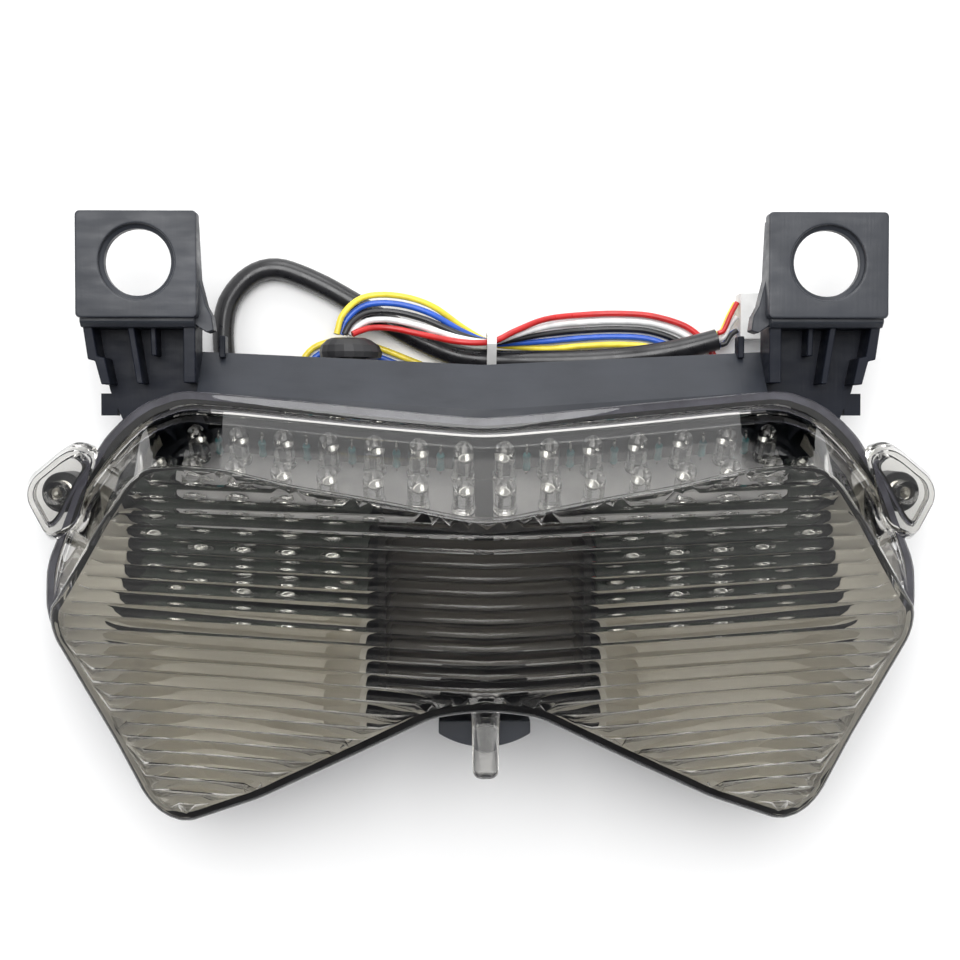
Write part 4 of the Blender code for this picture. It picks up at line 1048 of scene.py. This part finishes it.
def tab_outline(inset_by):
    """Points round the tab plate with softly rounded corners, evenly spread along each side."""
    radius = 1.1
    x0, x1 = 68.1 + inset_by + radius, 96.9 - inset_by - radius
    y0, y1 = 47.3 + inset_by + radius, 72.7 - inset_by - radius
    corners = ((x1, y0, -90.0), (x1, y1, 0.0), (x0, y1, 90.0), (x0, y0, 180.0))
    made = []
    for k, (cx, cy, start) in enumerate(corners):
        for i in range(5):
            angle = math.radians(start + 90.0 * i / 4.0)
            made.append((cx + radius * math.cos(angle), cy + radius * math.sin(angle)))
        nx, ny, later = corners[(k + 1) % 4]
        angle = math.radians(later)
        a = made[-1]
        b = (nx + radius * math.cos(angle), ny + radius * math.sin(angle))
        for i in range(1, 12):
            made.append((a[0] + (b[0] - a[0]) * i / 12.0, a[1] + (b[1] - a[1]) * i / 12.0))
    return made


def tab_circle(radius):
    """Points round the hole in the tab, one in line with each point of its outline."""
    made = []
    for x, y in tab_outline(0.0):
        angle = math.atan2(y - TAB_HOLE[1], x - TAB_HOLE[0])
        made.append((TAB_HOLE[0] + radius * math.cos(angle), TAB_HOLE[1] + radius * math.sin(angle)))
    return made


# The tab's section: inset and height up its outside, then radius and height down its stepped hole.
TAB_OUTSIDE = ((0.35, 32.0), (0.0, 32.35), (0.0, 36.45), (0.15, 36.85), (0.55, 37.0))
TAB_BORE = (
    (9.55, 37.0), (9.15, 36.85), (9.0, 36.45), (9.0, 35.45), (8.75, 35.25), (8.3, 35.15), (8.0, 34.9),
    (8.0, 32.35), (8.3, 32.0),
)


def tab_body():
    bm = bmesh.new()
    levels = [(tab_outline(step), z) for step, z in TAB_OUTSIDE]
    levels += [(tab_circle(radius), z) for radius, z in TAB_BORE]
    turned_wall(bm, [[(x, y, z) for x, y in points] for points, z in levels])
    return bm


# Upright slabs of the tab's neck: name, outline, lowest and highest z.
NECK_SLABS = (
    ("web", (
        (69.4, 46.0), (96.0, 46.0), (94.7, 38.0), (93.0, 37.4), (91.2, 30.0), (86.5, 19.0),
        (74.0, 19.0), (69.4, 24.0),
    ), 19.4, 23.4),
    ("side", (
        (96.1, 46.4), (93.9, 46.4), (92.5, 38.4), (90.8, 38.0), (89.4, 31.6), (91.6, 31.6),
        (93.1, 37.2), (94.8, 37.6),
    ), 20.6, 32.8),
    ("inner", ((69.1, 46.3), (72.0, 46.3), (72.0, 32.0), (69.1, 32.0)), 20.4, 32.6),
    ("rib", ((84.0, 46.2), (85.5, 46.2), (83.2, 31.8), (81.7, 31.8)), 20.8, 32.3),
    ("stub", ((79.0, 46.1), (80.3, 46.1), (80.0, 38.6), (78.7, 38.6)), 21.0, 30.4),
    ("gusset", (
        (68.9, 71.4), (68.2, 57.0), (66.6, 50.6), (65.2, 48.0), (64.7, 44.6), (66.4, 44.0),
        (70.2, 46.6), (70.2, 71.4),
    ), 26.4, 32.5),
    ("post", ((63.2, 38.4), (64.7, 38.4), (64.7, 43.8), (63.2, 43.8)), 17.6, 23.0),
    ("heel", ((89.6, 24.2), (93.6, 24.2), (93.6, 29.6), (89.6, 29.6)), 19.8, 23.1),
)
# Slabs with their outline in y and z: name, outline, lowest and highest x.
CROSS_SLABS = (
    ("lip", ((45.2, 20.0), (48.6, 20.0), (48.6, 35.0), (46.4, 35.0), (45.2, 33.6)), 69.0, 96.3),
    ("plate_end", ((22.0, 8.0), (39.6, 13.4), (39.6, 18.6), (31.0, 27.2), (24.0, 28.0)), 66.2, 68.8),
)
# The ear's screw boss, hollow from below and drilled: radius and height round its wall.
EAR_BOSS_TOP = flange_z(*EAR_SCREW) - SEAL_GAP
EAR_BOSS_WALL = (
    (3.6, 13.0), (4.6, 13.0), (5.0, 13.4), (5.0, EAR_BOSS_TOP - 0.3), (4.7, EAR_BOSS_TOP),
    (1.9, EAR_BOSS_TOP), (1.9, 17.4), (3.6, 17.0),
)

for side, label in ((-1, "left"), (1, "right")):
    bm = tab_body()
    mirrored(bm, side)
    housing_piece("tab_" + label, bm, 0.0)
    for name, outline, z0, z1 in NECK_SLABS:
        bm = bmesh.new()
        prism(bm, outline, z0, z1)
        mirrored(bm, side)
        # The neck slabs other than the gusset take the darker copy, whose colour paints the shade in the
        # recess.
        look = BLACK if name == "gusset" else NECK_PAINTED_SHADE_BLACK
        housing_piece("%s_%s" % (name, label), bm, 0.25, look, name in ("web", "heel"))
    for name, outline, x0, x1 in CROSS_SLABS:
        bm = bmesh.new()
        ring_stack(bm, ([(x0, y, z) for y, z in outline], [(x1, y, z) for y, z in outline]))
        mirrored(bm, side)
        housing_piece("%s_%s" % (name, label), bm, 0.3, cut=name == "plate_end")
    bm = bmesh.new()
    sx, sy = side * EAR_SCREW[0], EAR_SCREW[1]
    turned_wall(bm, [[(x, y, z) for x, y in circle(sx, sy, radius, 40)] for radius, z in EAR_BOSS_WALL])
    outward(bm)
    housing_piece("ear_boss_" + label, bm, 0.0)
    bm = bmesh.new()
    ring_stack(bm, [[(x, 3.6, 13.4), (x, 7.2, 13.4), (x, 7.2, 24.4), (x, 3.6, 24.4)] for x in (88.0, 98.6)])
    mirrored(bm, side)
    housing_piece("ear_web_" + label, bm, cut=True)

# boss in the notch, with a round front, and its root in the housing's wall
NOTCH_R = 19.8
NOTCH_MIDDLE_Y = -34.0
bm = bmesh.new()
arc = []
for i in range(25):
    angle = math.radians(-123.0 + 66.0 * i / 24.0)
    arc.append((NOTCH_R * math.cos(angle), NOTCH_MIDDLE_Y + NOTCH_R * math.sin(angle)))
prism(bm, arc + [(10.78, -47.6), (-10.78, -47.6)], 9.0, 45.0)
outward(bm)
housing_piece("notch_boss", bm, 0.3)
bm = bmesh.new()
prism(bm, ((-10.2, -38.0), (-10.2, -48.4), (10.2, -48.4), (10.2, -38.0)), 11.0, 28.0)
outward(bm)
housing_piece("notch_boss_root", bm, 0.2)

# spout that the wires leave by: radius and y
SPOUT_WALL = ((6.4, 37.6), (6.9, 37.1), (6.9, 14.0), (4.6, 14.0), (4.6, 37.6))
bm = bmesh.new()
turned_wall(bm, [[(x, y, z) for x, z in circle(*SPOUT, radius, 48)] for radius, y in SPOUT_WALL])
outward(bm)
housing_piece("wire_spout", bm, 0.0)

# ---- boards, diodes and resistors ----------------------------------------
def dome_centre(x, row):
    """Middle of a diode's dome: the rows follow the slope of the lens band."""
    return Vector((x, 15.0 + 0.083 * x, 41.0 - 0.18 * x)) + ROW_AXIS * (ROW_STEP * row)


def board_point(x, along, up):
    """A point on the tilted board: along its rows' axis from the first row, and up from its back."""
    return dome_centre(x, 0) - LED_AXIS * BOARD_DROP + ROW_AXIS * along + LED_AXIS * up


def signal_z(x):
    """Height of the green board's back, which leans a little to the sides."""
    return 19.5 - 0.07 * x


SIGNAL_LEDS = (
    (37.0, -8.5), (48.0, -8.5), (48.0, -18.0), (59.0, -8.5), (59.0, -18.0), (69.5, -8.5), (81.0, -3.0),
    (80.6, 13.6),
)


def diode_body(bm, foot, axis, height):
    """Clear epoxy bullet: a flange ring, a straight part and a round dome."""
    profile = [(0.0, 2.6), (0.15, 2.85), (0.9, 2.85), (1.0, 2.75), (1.05, LED_R), (height - LED_R, LED_R)]
    for step in range(1, 8):
        angle = math.radians(90.0 * step / 8.0)
        profile.append((height - LED_R + LED_R * math.sin(angle), LED_R * math.cos(angle)))
    profile.append((height, 0.15))
    lathe(bm, foot, axis, profile, 24)


def diode_metal(bm, foot, along, height):
    """Cup on its post and the anvil beside it, inside the epoxy."""
    side = Vector((1.0, 0.0, 0.0))
    cup = foot - side * 0.55
    rod(bm, cup + along * 0.2, cup + along * (height - 4.6), 0.35, 8)
    bowl = ((0.0, 0.4), (0.25, 0.9), (1.0, 1.15), (1.01, 1.0), (0.45, 0.5), (0.44, 0.1))
    lathe(bm, cup + along * (height - 4.6), along, bowl, 16)
    post = foot + side * 1.05
    rod(bm, post + along * 0.2, post + along * (height - 4.1), 0.4, 8)
    rod(bm, post + along * (height - 4.4), post - side * 0.6 + along * (height - 3.7), 0.3, 8)


RESISTOR_PROFILE = (
    (0.0, 0.45), (0.2, 0.95), (0.9, 1.05), (1.3, 0.88), (3.6, 0.88), (4.0, 1.05), (4.7, 0.95), (4.9, 0.45)
)
RESISTOR_LEG_R = 0.28
SIGNAL_OUTLINE = (
    (28.0, -22.0), (80.0, -22.0), (84.0, -17.0), (85.5, -6.0), (84.4, 4.0), (82.0, 13.0), (79.4, 16.8),
    (76.6, 15.4), (76.6, 6.0), (28.0, 4.0)
)
# Inner edge of the bezel, with the height of the tray and board it meets. The last points sit on the flange.
BEZEL_TRAY = (
    (79.6, 19.0, 24.0), (83.4, 15.6, 22.0), (86.2, 5.0, 20.0), (87.2, -4.0, 20.0), (87.6, -11.0, 22.0),
    (88.0, -17.0, 25.0), (88.6, -21.5, 28.0)
)
BEZEL_FLANGE = (
    (93.6, -28.4), (83.6, -53.0), (77.4, -64.6), (74.4, -67.2), (70.0, -68.0), (53.0, -61.6), (34.0, -51.6),
    (27.4, -47.6)
)
BEZEL_T = 0.7


def add_piece(name, bm, side, look, smooth, node=None, bevel=0.0):
    """One side's piece, modelled on the +X half. node is the CAD node it stands for."""
    mirrored(bm, side)
    obj = add_object(name, bm, look, smooth, bevel)
    if node:
        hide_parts(node)


def add_diodes(name, label, side, feet, axis, height, leg_below):
    """Clear bullets, then the metal inside and under them."""
    bodies = bmesh.new()
    metal = bmesh.new()
    for foot in feet:
        diode_body(bodies, foot, axis, height)
        diode_metal(metal, foot, axis, height)
        for leg in (-DIODE_LEG, DIODE_LEG):
            spot = foot + Vector((leg, 0.0, 0.0))
            rod(metal, spot - axis * leg_below, spot + axis * 0.3, LEG_R, 8)
    add_piece(name + "_led_domes_" + label, bodies, side, EPOXY, 35.0, name + "_leds_" + label)
    add_piece(name + "_led_frames_" + label, metal, side, LEAD_METAL, 35.0)


def plate_board():
    bm = bmesh.new()
    corners = ((-BOARD_EDGE, 0.0), (ROW_STEP + 3.2, 0.0), (ROW_STEP + 3.2, BOARD_T), (-BOARD_EDGE, BOARD_T))
    ring_stack(bm, [[board_point(x, along, up) for along, up in corners] for x in (2.2, 74.0)])
    return bm


def signal_board():
    bm = bmesh.new()
    ring_stack(bm, [[(x, y, signal_z(x) + up) for x, y in SIGNAL_OUTLINE] for up in (0.0, BOARD_T)])
    return bm


def resistors():
    """Bodies that stand between the columns, and their legs, the upper one bent back down."""
    bodies = bmesh.new()
    legs = bmesh.new()
    for a, b in zip(LED_COLUMNS, LED_COLUMNS[1:]):
        x = (a + b) / 2.0
        start = board_point(x, -1.6, BOARD_T + 1.6)
        lathe(bodies, start, LED_AXIS, RESISTOR_PROFILE, 20)
        rod(legs, start - LED_AXIS * 1.9, start, RESISTOR_LEG_R, 8)
        top = start + LED_AXIS * RESISTOR_PROFILE[-1][0]
        loop = [top]
        for k in range(7):
            angle = math.radians(180.0 * k / 6.0)
            rise = LED_AXIS * (0.5 + 0.9 * math.sin(angle))
            loop.append(top + rise + ROW_AXIS * (0.9 * math.cos(angle) - 0.9))
        loop.append(board_point(x, -3.3, BOARD_T - 0.2))
        for p, q in zip(loop, loop[1:]):
            rod(legs, p, q, RESISTOR_LEG_R, 8)
    return bodies, legs


def bezel():
    """Bright strip between the reflector tray, the board and the foot of the lens."""
    outer = inset(FLANGE, 3.9)[7:]
    inner = list(BEZEL_TRAY) + [(x, y, flange_z(x, y) + 1.15) for x, y in BEZEL_FLANGE]
    rows = []
    for (ox, oy), (ix, iy, iz) in zip(outer, inner):
        oz = flange_z(ox, oy) + 1.3
        rows.append([(ox, oy, oz), (ix, iy, iz), (ix, iy, iz - BEZEL_T), (ox, oy, oz - BEZEL_T)])
    bm = bmesh.new()
    ring_stack(bm, rows)
    return bm


for side, label in ((-1, "left"), (1, "right")):
    name = "plate_board_laminate_" + label
    add_piece(name, plate_board(), side, WHITE_BOARD, 30.0, "plate_board_" + label, 0.12)
    to_foot = BOARD_DROP - BOARD_T - DIODE_GAP
    feet = [dome_centre(x, row) - LED_AXIS * to_foot for x in LED_COLUMNS for row in (0, 1)]
    add_diodes("plate", label, side, feet, LED_AXIS, to_foot + LED_R, 2.6)
    solder = bmesh.new()
    for foot in feet:
        for leg in (-DIODE_LEG, DIODE_LEG):
            spot = foot + Vector((leg, 0.0, 0.0))
            lathe(solder, spot - LED_AXIS * 0.95, LED_AXIS, ((0.0, 0.75), (0.15, 0.7), (0.5, 0.32)), 12)
    add_piece("plate_led_solder_" + label, solder, side, LEAD_METAL, 50.0)

    bodies, legs = resistors()
    add_piece("resistor_bodies_" + label, bodies, side, TEAL, 40.0, "resistors_" + label)
    add_piece("resistor_leads_" + label, legs, side, LEAD_METAL, 40.0)

    name = "signal_board_laminate_" + label
    add_piece(name, signal_board(), side, GREEN_BOARD, 30.0, "signal_board_" + label, 0.1)
    feet = [Vector((x, y, signal_z(x) + BOARD_T + 0.6)) for x, y in SIGNAL_LEDS]
    add_diodes("signal", label, side, feet, TOWARD_Z, 11.0, 3.4)
    add_piece("reflector_bezel_" + label, bezel(), side, SILVER, 50.0)

    repaint(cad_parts["reflector_" + label], SILVER)
    repaint(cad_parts["inner_lead_" + label], WIRE_LOOKS["red"])
    for name in ("ear_screw_" + label, "board_screw_%s_1" % label, "board_screw_%s_2" % label):
        repaint(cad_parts[name], STEEL)

# ---- middle chamber, grommet, tie and plug -------------------------------
repaint(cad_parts["centre_chamber"], CHAMBER)
repaint(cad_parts["wire_grommet"], RUBBER)
repaint(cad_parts["cable_tie"], NYLON)
repaint(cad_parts["plug_housing"], NYLON)
